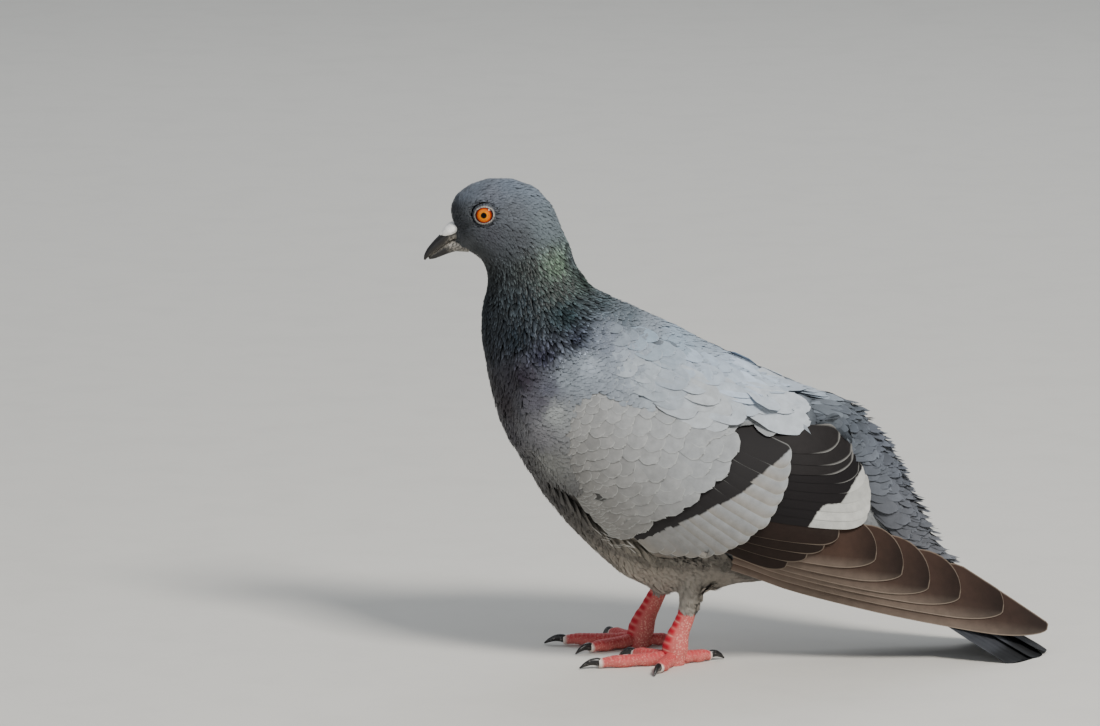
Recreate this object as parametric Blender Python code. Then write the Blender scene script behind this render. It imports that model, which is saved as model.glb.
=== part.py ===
"""A feral pigeon standing still, life size, as separate solids. Metres, +Z up.

The bird faces -X, with its left side toward -Y. The origin is on the floor, under
the middle of the bird's length. All sizes and places below are in millimetres.
"""
import math

import bmesh
import bpy
from mathutils import Vector

MM = 0.001
GAP = 0.3                 # air left between two pieces that touch
BODY_SIDES = 20           # corners of a body section
BODY_RINGS = 33           # sections along the whole body
BACK_FULLNESS = 2.5       # how square the back is; 2 is an ellipse
LEFT, RIGHT = -1, 1       # the sign of y on each side
SIDE_NAMES = {LEFT: "left", RIGHT: "right"}

# Sections of head, neck and body. Each runs from its under point to its upper
# point (x, z) in the plane of symmetry, and is its half breadth wide to each side.
BODY_SECTIONS = (
    # place           under             over             half breadth
    ("bill base",     (-113.0, 165.5), (-116.0, 178.0), 5.5),
    ("lores",         (-110.5, 166.0), (-115.6, 184.5), 8.0),
    ("forehead",      (-108.0, 165.5), (-112.5, 189.7), 10.5),
    ("eye",           (-106.0, 164.0), (-105.0, 194.2), 12.4),
    ("crown",         (-104.0, 162.0), (-95.0, 195.6), 13.3),
    ("hind crown",    (-102.0, 159.5), (-83.5, 193.0), 13.6),
    ("nape",          (-101.0, 156.0), (-75.5, 185.5), 13.8),
    ("throat",        (-101.3, 152.0), (-71.0, 176.0), 14.3),
    ("upper neck",    (-102.5, 146.5), (-67.5, 167.0), 15.3),
    ("middle neck",   (-103.5, 140.5), (-64.0, 157.5), 16.9),
    ("lower neck",    (-104.0, 133.5), (-56.5, 149.0), 20.0),
    ("neck base",     (-103.0, 126.0), (-46.5, 145.0), 24.5),
    ("crop",          (-101.5, 117.0), (-37.5, 140.5), 29.5),
    ("upper breast",  (-99.5, 108.0),  (-30.0, 137.0), 34.0),
    ("breast",        (-96.5, 97.0),   (-22.0, 133.0), 38.0),
    ("lower breast",  (-91.5, 86.5),   (-13.5, 128.0), 41.0),
    ("keel",          (-84.5, 75.5),   (-4.0, 123.5), 43.0),
    ("fore belly",    (-76.0, 62.0),   (7.0, 118.0), 44.0),
    ("belly",         (-64.5, 49.5),   (18.0, 113.0), 43.5),
    ("hind belly",    (-52.0, 37.0),   (29.5, 109.5), 42.0),
    ("flank",         (-38.0, 28.0),   (39.5, 106.5), 38.0),
    ("thigh",         (-20.0, 25.5),   (47.5, 101.5), 33.0),
    ("vent",          (-2.0, 28.5),    (54.0, 93.5), 29.0),
    ("rump",          (18.0, 31.0),    (60.5, 83.5), 25.0),
    ("tail coverts",  (38.5, 27.5),    (66.5, 71.0), 21.0),
    ("hind coverts",  (56.0, 23.0),    (72.5, 57.0), 18.0),
    ("vent coverts",  (70.0, 19.5),    (79.5, 43.5), 14.5),
    ("over the tail", (84.0, 16.5),    (88.0, 34.0), 11.5),
    ("coverts end",   (93.0, 14.0),    (96.0, 23.5), 7.0),
)

# The outer face of a folded wing: at each x, its breadth from the plane of
# symmetry at a low line and at a high line, and how far it swells between them.
WING_FACE = (
    # x       low z, breadth   high z, breadth   swell
    (-90.0,   (85.0, 24.0),    (125.0, 20.0),    10.0),
    (-60.0,   (57.0, 33.0),    (121.0, 34.0),    11.0),
    (-30.0,   (49.0, 38.0),    (112.0, 37.0),    12.5),
    (0.0,     (40.0, 37.0),    (103.0, 34.0),    13.5),
    (30.0,    (28.0, 35.0),    (98.0, 29.0),     10.0),
    (60.0,    (20.0, 33.0),    (64.0, 21.0),     4.5),
    (90.0,    (14.0, 28.0),    (38.0, 16.5),     1.5),
    (125.0,   (8.0, 20.0),     (15.0, 16.5),     0.0),
)

# Feather groups of a folded wing, outermost first: how deep each lies under the
# wing's outer face, and its lower and upper edge (x, z) from front to back.
COVERTS_ARM_DEPTH = 8.8   # the folded arm fills the front of the covert shield
COVERTS_EDGE_DEPTH = 1.1
COVERTS_LOWER = ((-89.6, 113.0), (-89.0, 103.0), (-84.7, 89.5), (-75.7, 77.5), (-66.0, 67.5),
                 (-56.0, 57.5), (-42.3, 52.2), (-26.0, 49.2), (-11.0, 49.0), (0.0, 55.5),
                 (8.2, 62.5), (13.5, 71.0), (17.8, 80.5), (18.6, 90.0))
COVERTS_UPPER = ((-89.4, 116.0), (-86.0, 124.0), (-77.0, 127.5), (-62.0, 121.5), (-45.0, 117.0),
                 (-28.0, 111.0), (-19.0, 105.7), (-9.0, 101.2), (1.0, 102.6), (10.0, 102.8),
                 (17.5, 98.5))
TERTIALS = (1.9, 2.5,
            ((-8.0, 82.0), (10.0, 76.0), (28.0, 76.0), (40.0, 79.5), (44.8, 84.0)),
            ((-8.0, 97.0), (8.0, 98.5), (22.0, 97.5), (36.0, 93.5), (44.0, 87.0)))
SECONDARIES = (3.0, 3.6,
               ((-10.0, 56.0), (9.0, 60.5), (24.0, 57.0), (41.0, 56.8), (50.5, 61.0)),
               ((-10.0, 92.0), (12.0, 93.0), (30.0, 91.0), (44.0, 84.0), (51.2, 71.0)))
OUTER_SECONDARIES = (4.6, 5.2,
                     ((-9.0, 49.5), (3.0, 43.0), (14.0, 41.3), (26.0, 47.5), (37.0, 54.0)),
                     ((-9.0, 70.0), (6.0, 72.0), (20.0, 70.0), (32.0, 65.0), (38.0, 58.0)))
INNER_PRIMARIES = (5.8, 6.4,
                   ((-6.0, 46.0), (14.0, 38.0), (33.0, 34.5), (50.0, 33.0), (61.5, 34.5)),
                   ((-6.0, 66.0), (18.0, 66.0), (40.0, 62.0), (56.0, 53.0), (63.5, 40.0)))
MIDDLE_PRIMARIES = (7.1, 7.7,
                    ((-2.0, 41.5), (25.0, 31.0), (50.0, 25.5), (70.0, 23.0), (86.0, 23.5)),
                    ((-2.0, 60.0), (30.0, 60.0), (58.0, 54.0), (76.0, 42.0), (88.0, 29.0)))
OUTER_PRIMARIES = (8.8, 9.5,
                   ((1.0, 37.5), (16.0, 32.3), (33.0, 27.0), (50.0, 22.3), (71.0, 18.2),
                    (93.0, 13.7), (110.0, 10.6), (121.5, 8.6)),
                   ((1.0, 55.0), (25.0, 57.0), (48.0, 57.0), (68.0, 52.0), (84.0, 40.0),
                    (102.6, 29.6), (116.5, 20.0), (124.5, 12.0)))
WING_LAYERS = {"tertials": TERTIALS, "secondaries": SECONDARIES,
               "outer_secondaries": OUTER_SECONDARIES, "inner_primaries": INNER_PRIMARIES,
               "middle_primaries": MIDDLE_PRIMARIES, "outer_primaries": OUTER_PRIMARIES}
WING_COLOURS = {"wing_coverts": "#b0b3b6", "tertials": "#4c4a4b", "secondaries": "#46444a",
                "outer_secondaries": "#5a504c", "inner_primaries": "#6b625c",
                "middle_primaries": "#665d57", "outer_primaries": "#625952"}
WING_FACET = 13.0         # widest facet across a wing layer
BED_DEPTH = 10.6          # the body is cleared this deep under the wing's outer face
BED_REACH = 14.0          # and this far outside it

# The back with its scapular feathers, as the region above this line (x, z).
MANTLE_LINE = ((-64.0, 122.8), (-45.0, 117.6), (-28.0, 111.6), (-19.0, 106.3), (-9.0, 101.9),
               (1.0, 103.6), (10.0, 104.8), (17.5, 100.7), (25.0, 98.5), (28.5, 102.0),
               (29.0, 109.0))

# Tail: twelve feathers in a plane that slopes down to the floor.
TAIL_SLOPE = math.radians(30)
TAIL_ROOT_X = 30.0
TAIL_END_X = 126.0        # where the upper pair meets the floor
FEATHER_THICK = 0.6
FEATHER_STEP = 0.9        # from one tail feather's face down to the next one's
TAIL_PAIRS = 6
TAIL_SPREAD = math.radians(6)   # turn of the outermost feather from the midline
TAIL_ROOT_SPACING = 0.8
TAIL_SPARE = 4.0          # length past the floor line, which the floor cuts off
TAIL_VANE = ((0.0, 1.8), (0.3, 4.5), (0.6, 7.0), (0.88, 10.3), (0.97, 9.8),
             (1.0, 6.0))   # share of a feather's length, half its width
TAIL_DROOP = math.radians(3)      # each half of the tail slopes down from the midline

EYE_RADIUS = 5.4
EYE_CENTRE = (-102.8, 7.9, 181.6)

LEGS = {
    # centre line points (x, z) of shank and thigh, then claw tips (x, y) of the toes
    LEFT: {"hub": (-27.5, -18.0),
           "shank": ((-27.5, 0.0), (-27.2, 4.0), (-25.6, 11.5), (-22.3, 19.5), (-20.3, 28.0),
                     (-19.0, 36.0)),
           "thigh": ((-22.0, 21.0), (-20.6, 26.0), (-19.4, 33.0), (-16.5, 42.0), (-13.0, 50.0)),
           "hallux": (-6.3, -9.0), "inner_toe": (-48.0, -1.0),
           "middle_toe": (-65.5, -26.0), "outer_toe": (-36.6, -42.0)},
    RIGHT: {"hub": (-39.4, 18.0),
            "shank": ((-39.4, 0.0), (-39.0, 4.0), (-36.6, 11.5), (-32.6, 19.5), (-28.4, 28.0),
                      (-25.0, 36.0)),
            "thigh": ((-32.0, 21.0), (-29.4, 26.0), (-25.8, 33.0), (-20.0, 42.0), (-14.5, 50.0)),
            "hallux": (-20.5, 22.5), "inner_toe": (-65.5, 2.0),
            "middle_toe": (-77.0, 24.0), "outer_toe": (-52.0, 42.0)},
}
SHANK_HALF_DEPTHS = (4.6, 5.2, 3.8, 3.5, 3.6, 3.4)
SHANK_HALF_WIDTHS = (4.2, 4.7, 3.2, 2.7, 2.8, 2.7)
THIGH_HALF_DEPTHS = (3.9, 4.6, 6.0, 11.0, 15.0)
THIGH_HALF_WIDTHS = (3.4, 4.2, 5.6, 8.5, 10.5)
TOE_RADIUS = 2.75
CLAW_LENGTHS = {"hallux": 6.5, "inner_toe": 7.5, "middle_toe": 8.5, "outer_toe": 7.0}


def clear_scene():
    for thing in list(bpy.data.objects):
        bpy.data.objects.remove(thing, do_unlink=True)


def make_material(name, colour, roughness=0.7):
    """A Principled material; the colour is sRGB hex."""
    material = bpy.data.materials.new(name)
    material.use_nodes = True
    shader = material.node_tree.nodes["Principled BSDF"]
    channels = [int(colour[i:i + 2], 16) / 255 for i in (1, 3, 5)]
    linear = [((c + 0.055) / 1.055) ** 2.4 if c > 0.04045 else c / 12.92 for c in channels]
    shader.inputs["Base Color"].default_value = (*linear, 1)
    shader.inputs["Roughness"].default_value = roughness
    return material


def curve_between(a, b, c, d, share):
    """A value between b and c on a smooth curve through a, b, c and d."""
    return 0.5 * (2 * b + (c - a) * share + (2 * a - 5 * b + 4 * c - d) * share ** 2
                  + (3 * b - a - 3 * c + d) * share ** 3)


def around(values, i):
    """The values before, at, after and two after a place; the ends repeat."""
    last = len(values) - 1
    return [values[max(0, min(last, n))] for n in (i - 1, i, i + 1, i + 2)]


def smooth_path(points, count):
    """Points spaced evenly along a smooth curve through the given ones."""
    points = [Vector(p) for p in points]
    ends = [2 * points[0] - points[1], *points, 2 * points[-1] - points[-2]]
    fine = []
    for four in zip(ends, ends[1:], ends[2:], ends[3:]):
        fine += [curve_between(*four, step / 12) for step in range(12)]
    fine.append(points[-1])
    return even_steps(fine, count)


def even_steps(points, count):
    """The same line with a given number of points, evenly spaced along it."""
    lengths = [0.0]
    for a, b in zip(points, points[1:]):
        lengths.append(lengths[-1] + (b - a).length)
    spaced = []
    k = 0
    for i in range(count):
        along = lengths[-1] * i / (count - 1)
        while k < len(points) - 2 and lengths[k + 1] < along:
            k += 1
        share = (along - lengths[k]) / (lengths[k + 1] - lengths[k])
        spaced.append(points[k].lerp(points[k + 1], min(1, share)))
    return spaced


def between(low, high, value):
    """A smooth step from 0 at low to 1 at high."""
    t = min(1, max(0, (value - low) / (high - low)))
    return t * t * (3 - 2 * t)


def finish_mesh(name, mesh):
    """Turn a bmesh in millimetres into an object in metres, faces outward."""
    bmesh.ops.recalc_face_normals(mesh, faces=mesh.faces)
    bmesh.ops.scale(mesh, vec=(MM, MM, MM), verts=mesh.verts)
    data = bpy.data.meshes.new(name)
    mesh.to_mesh(data)
    mesh.free()
    thing = bpy.data.objects.new(name, data)
    bpy.context.scene.collection.objects.link(thing)
    return thing


def dress(thing, material):
    drop_crumbs(thing)
    thing.data.materials.clear()
    thing.data.materials.append(material)
    thing.data.shade_smooth()
    thing.data.set_sharp_from_angle(angle=math.radians(38))


def loft(name, rings, floor=None):
    """A closed solid through rings with the same number of corners."""
    mesh = bmesh.new()
    rows = [[mesh.verts.new(p) for p in ring] for ring in rings]
    for near, far in zip(rows, rows[1:]):
        for i in range(len(near)):
            j = (i + 1) % len(near)
            mesh.faces.new((near[i], near[j], far[j], far[i]))
    mesh.faces.new(rows[0])
    mesh.faces.new(rows[-1])
    if floor is not None:
        for vert in mesh.verts:
            vert.co.z = max(floor, vert.co.z)
    return finish_mesh(name, mesh)


def sheet(name, rows_out, rows_in):
    """A closed plate between two grids of points with the same layout."""
    mesh = bmesh.new()
    out = [[mesh.verts.new(p) for p in row] for row in rows_out]
    inn = [[mesh.verts.new(p) for p in row] for row in rows_in]
    across, along = len(out), len(out[0])
    for grid in (out, inn):
        for i in range(across - 1):
            for j in range(along - 1):
                mesh.faces.new((grid[i][j], grid[i][j + 1], grid[i + 1][j + 1], grid[i + 1][j]))
    rim = [(i, 0) for i in range(across)]
    rim += [(across - 1, j) for j in range(1, along)]
    rim += [(i, along - 1) for i in range(across - 2, -1, -1)]
    rim += [(0, j) for j in range(along - 2, 0, -1)]
    for (a, b), (c, d) in zip(rim, rim[1:] + rim[:1]):
        mesh.faces.new((out[a][b], out[c][d], inn[c][d], inn[a][b]))
    return finish_mesh(name, mesh)


def extrude_outline(name, outline, half_width):
    """A solid with a side-view outline (x, z), from -half_width to half_width in y."""
    return loft(name, [[Vector((x, y, z)) for x, z in outline] for y in (-half_width, half_width)])


def grown(thing, by):
    """A copy whose faces lie `by` millimetres outside the original's."""
    mesh = bmesh.new()
    mesh.from_mesh(thing.data)
    mesh.normal_update()
    moves = [vert.normal * vert.calc_shell_factor() * by * MM for vert in mesh.verts]
    for vert, move in zip(mesh.verts, moves):
        vert.co += move
    copy = thing.copy()
    copy.data = bpy.data.meshes.new(thing.name + "_grown")
    mesh.to_mesh(copy.data)
    mesh.free()
    bpy.context.scene.collection.objects.link(copy)
    return copy


def boolean(thing, other, operation):
    """Replace a mesh by its difference from, or its common part with, another."""
    modifier = thing.modifiers.new(operation, "BOOLEAN")
    modifier.object = other
    modifier.operation = operation
    modifier.solver = "EXACT"
    graph = bpy.context.evaluated_depsgraph_get()
    result = bpy.data.meshes.new_from_object(thing.evaluated_get(graph), depsgraph=graph)
    thing.modifiers.clear()
    thing.data = result


def drop_crumbs(thing):
    """Keep the largest of the bodies that a cut left."""
    mesh = bmesh.new()
    mesh.from_mesh(thing.data)
    waiting = set(mesh.verts)
    bodies = []
    while waiting:
        front = [waiting.pop()]
        body = []
        while front:
            vert = front.pop()
            body.append(vert)
            linked = {edge.other_vert(vert) for edge in vert.link_edges} & waiting
            waiting -= linked
            front += linked
        bodies.append(body)
    bodies.sort(key=len)
    bmesh.ops.delete(mesh, geom=[vert for body in bodies[:-1] for vert in body], context="VERTS")
    mesh.to_mesh(thing.data)
    mesh.free()


def remove(thing):
    bpy.data.objects.remove(thing, do_unlink=True)


def clear_room(thing, neighbour, gap=GAP):
    """Cut away what lies inside a neighbour or nearer to it than the gap."""
    cutter = grown(neighbour, gap)
    boolean(thing, cutter, "DIFFERENCE")
    remove(cutter)


def keep_side(thing, point, normal):
    """Keep what lies behind a plane, given in millimetres, and close the cut."""
    mesh = bmesh.new()
    mesh.from_mesh(thing.data)
    geometry = mesh.verts[:] + mesh.edges[:] + mesh.faces[:]
    cut = bmesh.ops.bisect_plane(mesh, geom=geometry, plane_co=Vector(point) * MM, plane_no=normal,
                                 dist=1e-7, clear_outer=True)
    edges = [e for e in cut["geom_cut"] if isinstance(e, bmesh.types.BMEdge)]
    bmesh.ops.holes_fill(mesh, edges=edges)
    bmesh.ops.recalc_face_normals(mesh, faces=mesh.faces)
    mesh.to_mesh(thing.data)
    mesh.free()


# ---------------------------------------------------------------- body

def body_ring(under, over, half, fullness):
    """One section from an under point to an upper point; its upper half is fuller."""
    middle = (under + over) / 2
    reach = (over - under) / 2
    ring = []
    for i in range(BODY_SIDES):
        angle = 2 * math.pi * i / BODY_SIDES
        up, across = math.cos(angle), math.sin(angle)
        power = 2 / fullness if up > 0 else 1
        up = math.copysign(abs(up) ** power, up)
        across = math.copysign(abs(across) ** power, across)
        ring.append(Vector((middle.x + reach.x * up, half * across, middle.y + reach.y * up)))
    return ring


def body_rings():
    """Sections spaced evenly along a smooth body."""
    lines = [Vector((*under, *over)) for _, under, over, _ in BODY_SECTIONS]
    halves = [half for _, _, _, half in BODY_SECTIONS]
    last = len(BODY_SECTIONS) - 1
    rings = []
    for k in range(BODY_RINGS):
        place = last * k / (BODY_RINGS - 1)
        i = min(int(place), last - 1)
        line = curve_between(*around(lines, i), place - i)
        half = curve_between(*around(halves, i), place - i)
        square = between(11, 15, place) * (1 - between(20, 23, place))
        fullness = 2 + (BACK_FULLNESS - 2) * square
        rings.append(body_ring(Vector(line[:2]), Vector(line[2:]), half, fullness))
    return rings


def section_plane(place):
    """The plane of a named section: a point on it and its normal, toward the tail."""
    under, over = next(s[1:3] for s in BODY_SECTIONS if s[0] == place)
    along = Vector((over[0] - under[0], 0, over[1] - under[1])).normalized()
    normal = Vector((along.z, 0, -along.x))
    return Vector((under[0], 0, under[1])), normal


def cut_between(name, source, first, last):
    """The stretch of a body between two named sections, with half a gap at each cut."""
    piece = source.copy()
    piece.data = source.data.copy()
    piece.name = name
    bpy.context.scene.collection.objects.link(piece)
    if last:
        point, normal = section_plane(last)
        keep_side(piece, point - normal * GAP / 2, normal)
    if first:
        point, normal = section_plane(first)
        keep_side(piece, point + normal * GAP / 2, -normal)
    return piece


def make_body():
    """Head, neck, breast, trunk, back and rump, parted by thin cuts."""
    whole = loft("whole", body_rings())
    pieces = {"head": cut_between("head", whole, None, "throat"),
              "neck": cut_between("neck", whole, "throat", "neck base")}
    torso = cut_between("torso", whole, "neck base", "thigh")
    pieces["rump"] = cut_between("rump", whole, "thigh", None)
    outline = [*MANTLE_LINE, (29.0, 160.0), (-64.0, 160.0)]
    above = extrude_outline("above", outline, 60)
    back = torso.copy()
    back.data = torso.data.copy()
    back.name = "mantle"
    bpy.context.scene.collection.objects.link(back)
    boolean(back, above, "INTERSECT")
    clear_room(torso, above)
    pieces["mantle"] = back
    pieces["breast"] = cut_between("breast", torso, None, "lower breast")
    pieces["trunk"] = cut_between("trunk", torso, "lower breast", None)
    for spare in (whole, torso, above):
        remove(spare)
    return pieces


# ---------------------------------------------------------------- wings

def wing_breadth(x, z):
    """Distance of a folded wing's outer face from the plane of symmetry."""
    rows = [Vector((row[0], *row[1], *row[2], row[3])) for row in WING_FACE]
    i = max(0, min(len(rows) - 2, sum(x >= row[0] for row in rows) - 1))
    share = (x - rows[i][0]) / (rows[i + 1][0] - rows[i][0])
    _, low_z, low, high_z, high, swell = curve_between(*around(rows, i), share)
    v = (z - low_z) / (high_z - low_z)
    return low + (high - low) * v + swell * 4 * v * (1 - v)


def wing_point(x, z, depth, side):
    """A point at a depth under the wing's outer face; the depth is taken square to it."""
    step = 0.5
    slope_x = (wing_breadth(x + step, z) - wing_breadth(x - step, z)) / (2 * step)
    slope_z = (wing_breadth(x, z + step) - wing_breadth(x, z - step)) / (2 * step)
    inward = depth * math.sqrt(1 + slope_x ** 2 + slope_z ** 2)
    return Vector((x, side * (wing_breadth(x, z) - inward), z))


def wing_layer(name, side, lower, upper, outer_depth, inner_depth, along):
    """A layer of a wing between a lower and an upper edge; depths are functions of x."""
    low = smooth_path(lower, along)
    high = smooth_path(upper, along)
    across = math.ceil(max((b - a).length for a, b in zip(low, high)) / WING_FACET)
    grids = []
    for depth in (outer_depth, inner_depth):
        rows = []
        for k in range(across + 1):
            row = [a.lerp(b, k / across) for a, b in zip(low, high)]
            rows.append([wing_point(p.x, p.y, depth(p.x), side) for p in row])
        grids.append(rows)
    return sheet(name, *grids)


def arm_depth(x):
    """How deep the covert shield reaches at x: thick over the arm, thin toward the tail."""
    return COVERTS_ARM_DEPTH + (COVERTS_EDGE_DEPTH - COVERTS_ARM_DEPTH) * between(-52, -16, x)


def make_wing(side):
    """The covert shield and the layers of flight feathers under it."""
    tag = "_" + SIDE_NAMES[side]
    pieces = {"wing_coverts" + tag: wing_layer("wing_coverts" + tag, side, COVERTS_LOWER,
                                               COVERTS_UPPER, lambda x: 0, arm_depth, 16)}
    for name, (outer, inner, lower, upper) in WING_LAYERS.items():
        pieces[name + tag] = wing_layer(name + tag, side, lower, upper, lambda x, d=outer: d,
                                        lambda x, d=inner: d, 2 * len(lower) - 1)
    return pieces


def wing_bed(side):
    """The space kept free for a wing, from outside it to under its lowest layer."""
    lower = ((-91.6, 112.0), (-91.0, 102.5), (-86.4, 88.4), (-77.2, 76.0), (-67.2, 66.0),
             (-57.0, 55.8), (-42.8, 50.6), (-26.0, 47.7), (-11.5, 46.2), (0.5, 36.0),
             (16.0, 31.0), (33.0, 25.7), (50.0, 21.0), (71.0, 16.9), (93.0, 12.4), (126.0, 6.5))
    upper = ((-91.6, 117.0), (-87.6, 126.0), (-77.0, 129.6), (-62.0, 123.4), (-45.0, 118.4),
             (-28.0, 112.4), (-19.0, 107.0), (-9.0, 102.8), (1.0, 104.4), (18.0, 101.5),
             (37.0, 95.0), (46.0, 88.0), (53.0, 72.0), (69.0, 53.5), (85.0, 41.5), (127.0, 13.5))
    return wing_layer("bed", side, lower, upper, lambda x: -BED_REACH, lambda x: BED_DEPTH, 30)


# ---------------------------------------------------------------- tail

def tail_point(along, across, level):
    """A point of the tail: distance from its root, distance from the midline, level."""
    run = Vector((math.cos(TAIL_SLOPE), 0, -math.sin(TAIL_SLOPE)))
    rise = Vector((math.sin(TAIL_SLOPE), 0, math.cos(TAIL_SLOPE)))
    height = (TAIL_END_X - TAIL_ROOT_X) * math.tan(TAIL_SLOPE)
    root = Vector((TAIL_ROOT_X, 0, height))
    level -= abs(across) * math.tan(TAIL_DROOP)
    return root + run * along + rise * level + Vector((0, across, 0))


def feather_place(share, offset, pair):
    """Where a point of a tail feather lies: distance along the tail and across it."""
    turn = TAIL_SPREAD * pair / (TAIL_PAIRS - 1)
    reach = share * ((TAIL_END_X - TAIL_ROOT_X) / math.cos(TAIL_SLOPE) + TAIL_SPARE)
    along = reach * math.cos(turn) - offset * math.sin(turn)
    across = reach * math.sin(turn) + offset * math.cos(turn) + TAIL_ROOT_SPACING * pair
    return along, across


def tail_feather(side, pair):
    """One tail feather, which stops at the midline and ends on the floor."""
    level = -FEATHER_STEP * pair
    grids = []
    for depth in (level, level - FEATHER_THICK):
        rows = []
        for share, half in TAIL_VANE:
            row = []
            for k in range(3):
                along, across = feather_place(share, half * (k - 1), pair)
                row.append(tail_point(along, side * max(GAP / 2, across), depth))
            rows.append(row)
        grids.append(rows)
    name = f"tail_feather_{pair + 1}_{SIDE_NAMES[side]}"
    feather = sheet(name, *grids)
    keep_side(feather, (0, 0, 0), (0, 0, -1))
    return feather


def tail_slot():
    """The space that the rump keeps free for the roots of the tail feathers."""
    last = TAIL_PAIRS - 1
    bottom = -FEATHER_STEP * last - FEATHER_THICK - GAP
    grids = []
    for level in (GAP, bottom):
        rows = []
        for share, half in ((-0.006, 2.2), *TAIL_VANE[1:-1]):
            along, across = feather_place(share, half + GAP, last)
            rows.append([tail_point(along, across * k, level) for k in (-1, 0, 1)])
        grids.append(rows)
    return sheet("slot", *grids)


# ---------------------------------------------------------------- head

def oval(centre, up, half_up, half_across, sides=12):
    """A closed ring in the plane of `up` and the y axis."""
    up = Vector((up[0], 0, up[1])).normalized()
    ring = []
    for i in range(sides):
        angle = 2 * math.pi * i / sides
        ring.append(Vector((centre[0], 0, centre[1])) + up * half_up * math.cos(angle)
                    + Vector((0, half_across * math.sin(angle), 0)))
    return ring


def spindle(name, stations):
    """A loft in the plane of symmetry: (upper point, lower point, half breadth) rows."""
    rings = []
    for top, bottom, half in stations:
        top, bottom = Vector(top), Vector(bottom)
        rings.append(oval((top + bottom) / 2, top - bottom, (top - bottom).length / 2, half))
    return loft(name, rings)


def make_bill():
    """Upper and lower bill, and the white cere over the nostrils."""
    upper = spindle("bill_upper", (((-116.1, 176.4), (-114.6, 170.6), 4.0),
                                   ((-119.0, 172.8), (-117.3, 168.9), 3.3),
                                   ((-122.0, 170.0), (-120.3, 166.8), 2.6),
                                   ((-124.6, 167.0), (-122.9, 164.8), 1.9),
                                   ((-126.0, 164.3), (-124.7, 163.1), 1.2),
                                   ((-126.3, 162.4), (-125.7, 161.9), 0.5)))
    lower = spindle("bill_lower", (((-114.2, 170.2), (-113.3, 165.9), 3.7),
                                   ((-117.1, 168.4), (-116.7, 164.9), 3.0),
                                   ((-120.0, 166.3), (-119.8, 163.7), 2.2),
                                   ((-122.5, 164.3), (-122.4, 162.6), 1.5),
                                   ((-124.0, 163.1), (-124.0, 162.3), 0.7)))
    cere = spindle("cere", (((-112.9, 180.4), (-112.6, 178.8), 1.0),
                            ((-114.6, 179.3), (-113.0, 175.4), 3.0),
                            ((-116.6, 177.6), (-114.4, 172.9), 4.4),
                            ((-118.7, 175.2), (-116.4, 171.2), 4.3),
                            ((-120.1, 173.0), (-118.6, 170.9), 2.8),
                            ((-120.7, 172.0), (-120.2, 171.3), 1.0)))
    clear_room(upper, cere)
    return {"bill_upper": upper, "bill_lower": lower, "cere": cere}


def make_eye(side):
    mesh = bmesh.new()
    bmesh.ops.create_uvsphere(mesh, u_segments=12, v_segments=7, radius=EYE_RADIUS)
    bmesh.ops.rotate(mesh, verts=mesh.verts, cent=(0, 0, 0),
                     matrix=Vector((0, 0, 1)).rotation_difference(Vector((0, 1, 0))).to_matrix())
    x, y, z = EYE_CENTRE
    bmesh.ops.translate(mesh, verts=mesh.verts, vec=(x, side * y, z))
    return finish_mesh("eye_" + SIDE_NAMES[side], mesh)


# ---------------------------------------------------------------- legs

def upright(name, line, y, half_depths, half_widths, sides=12):
    """A limb of level oval rings about a centre line (x, z), with its foot cut flat."""
    rings = []
    for (x, z), deep, wide in zip(line, half_depths, half_widths):
        ring = []
        for i in range(sides):
            angle = 2 * math.pi * i / sides
            ring.append(Vector((x + deep * math.cos(angle), y + wide * math.sin(angle), z)))
        rings.append(ring)
    return loft(name, rings)


def tube_along(name, points, radii, sides=8):
    """A tube through points, flattened where it would pass below the floor."""
    rings = []
    for i, (point, radius) in enumerate(zip(points, radii)):
        ahead = points[min(i + 1, len(points) - 1)] - points[max(i - 1, 0)]
        forward = ahead.normalized()
        across = forward.cross(Vector((0, 0, 1))).normalized()
        up = across.cross(forward)
        rings.append([point + radius * (across * math.cos(2 * math.pi * k / sides)
                                        + up * math.sin(2 * math.pi * k / sides))
                      for k in range(sides)])
    return loft(name, rings, floor=0)


def make_toe(name, side, hub, tip):
    """A toe from the foot's hub to its claw, and the claw, both on the floor."""
    start = Vector((*hub, 0))
    end = Vector((*tip, 0))
    reach = (end - start).length
    forward = (end - start) / reach
    claw = CLAW_LENGTHS[name]
    base = reach - claw
    shares = ((0.0, 3.6, 1.0), (0.35, 2.6, 1.0), (0.6, 2.35, 0.92), (0.85, 2.3, 0.94),
              (1.0, 2.0, 0.62))
    toe = tube_along(name + "_" + SIDE_NAMES[side],
                     [start + forward * base * share + Vector((0, 0, height))
                      for share, height, _ in shares],
                     [TOE_RADIUS * width for _, _, width in shares])
    curve = ((-0.12, 2.1, 1.35), (0.12, 2.75, 1.65), (0.4, 2.7, 1.35), (0.7, 1.9, 0.9),
             (0.97, 0.55, 0.35))
    nail = tube_along(name.replace("_toe", "") + "_claw_" + SIDE_NAMES[side],
                      [start + forward * (base + claw * share) + Vector((0, 0, height))
                       for share, height, _ in curve],
                      [radius for _, _, radius in curve], sides=6)
    clear_room(toe, nail)
    return toe, nail


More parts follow.
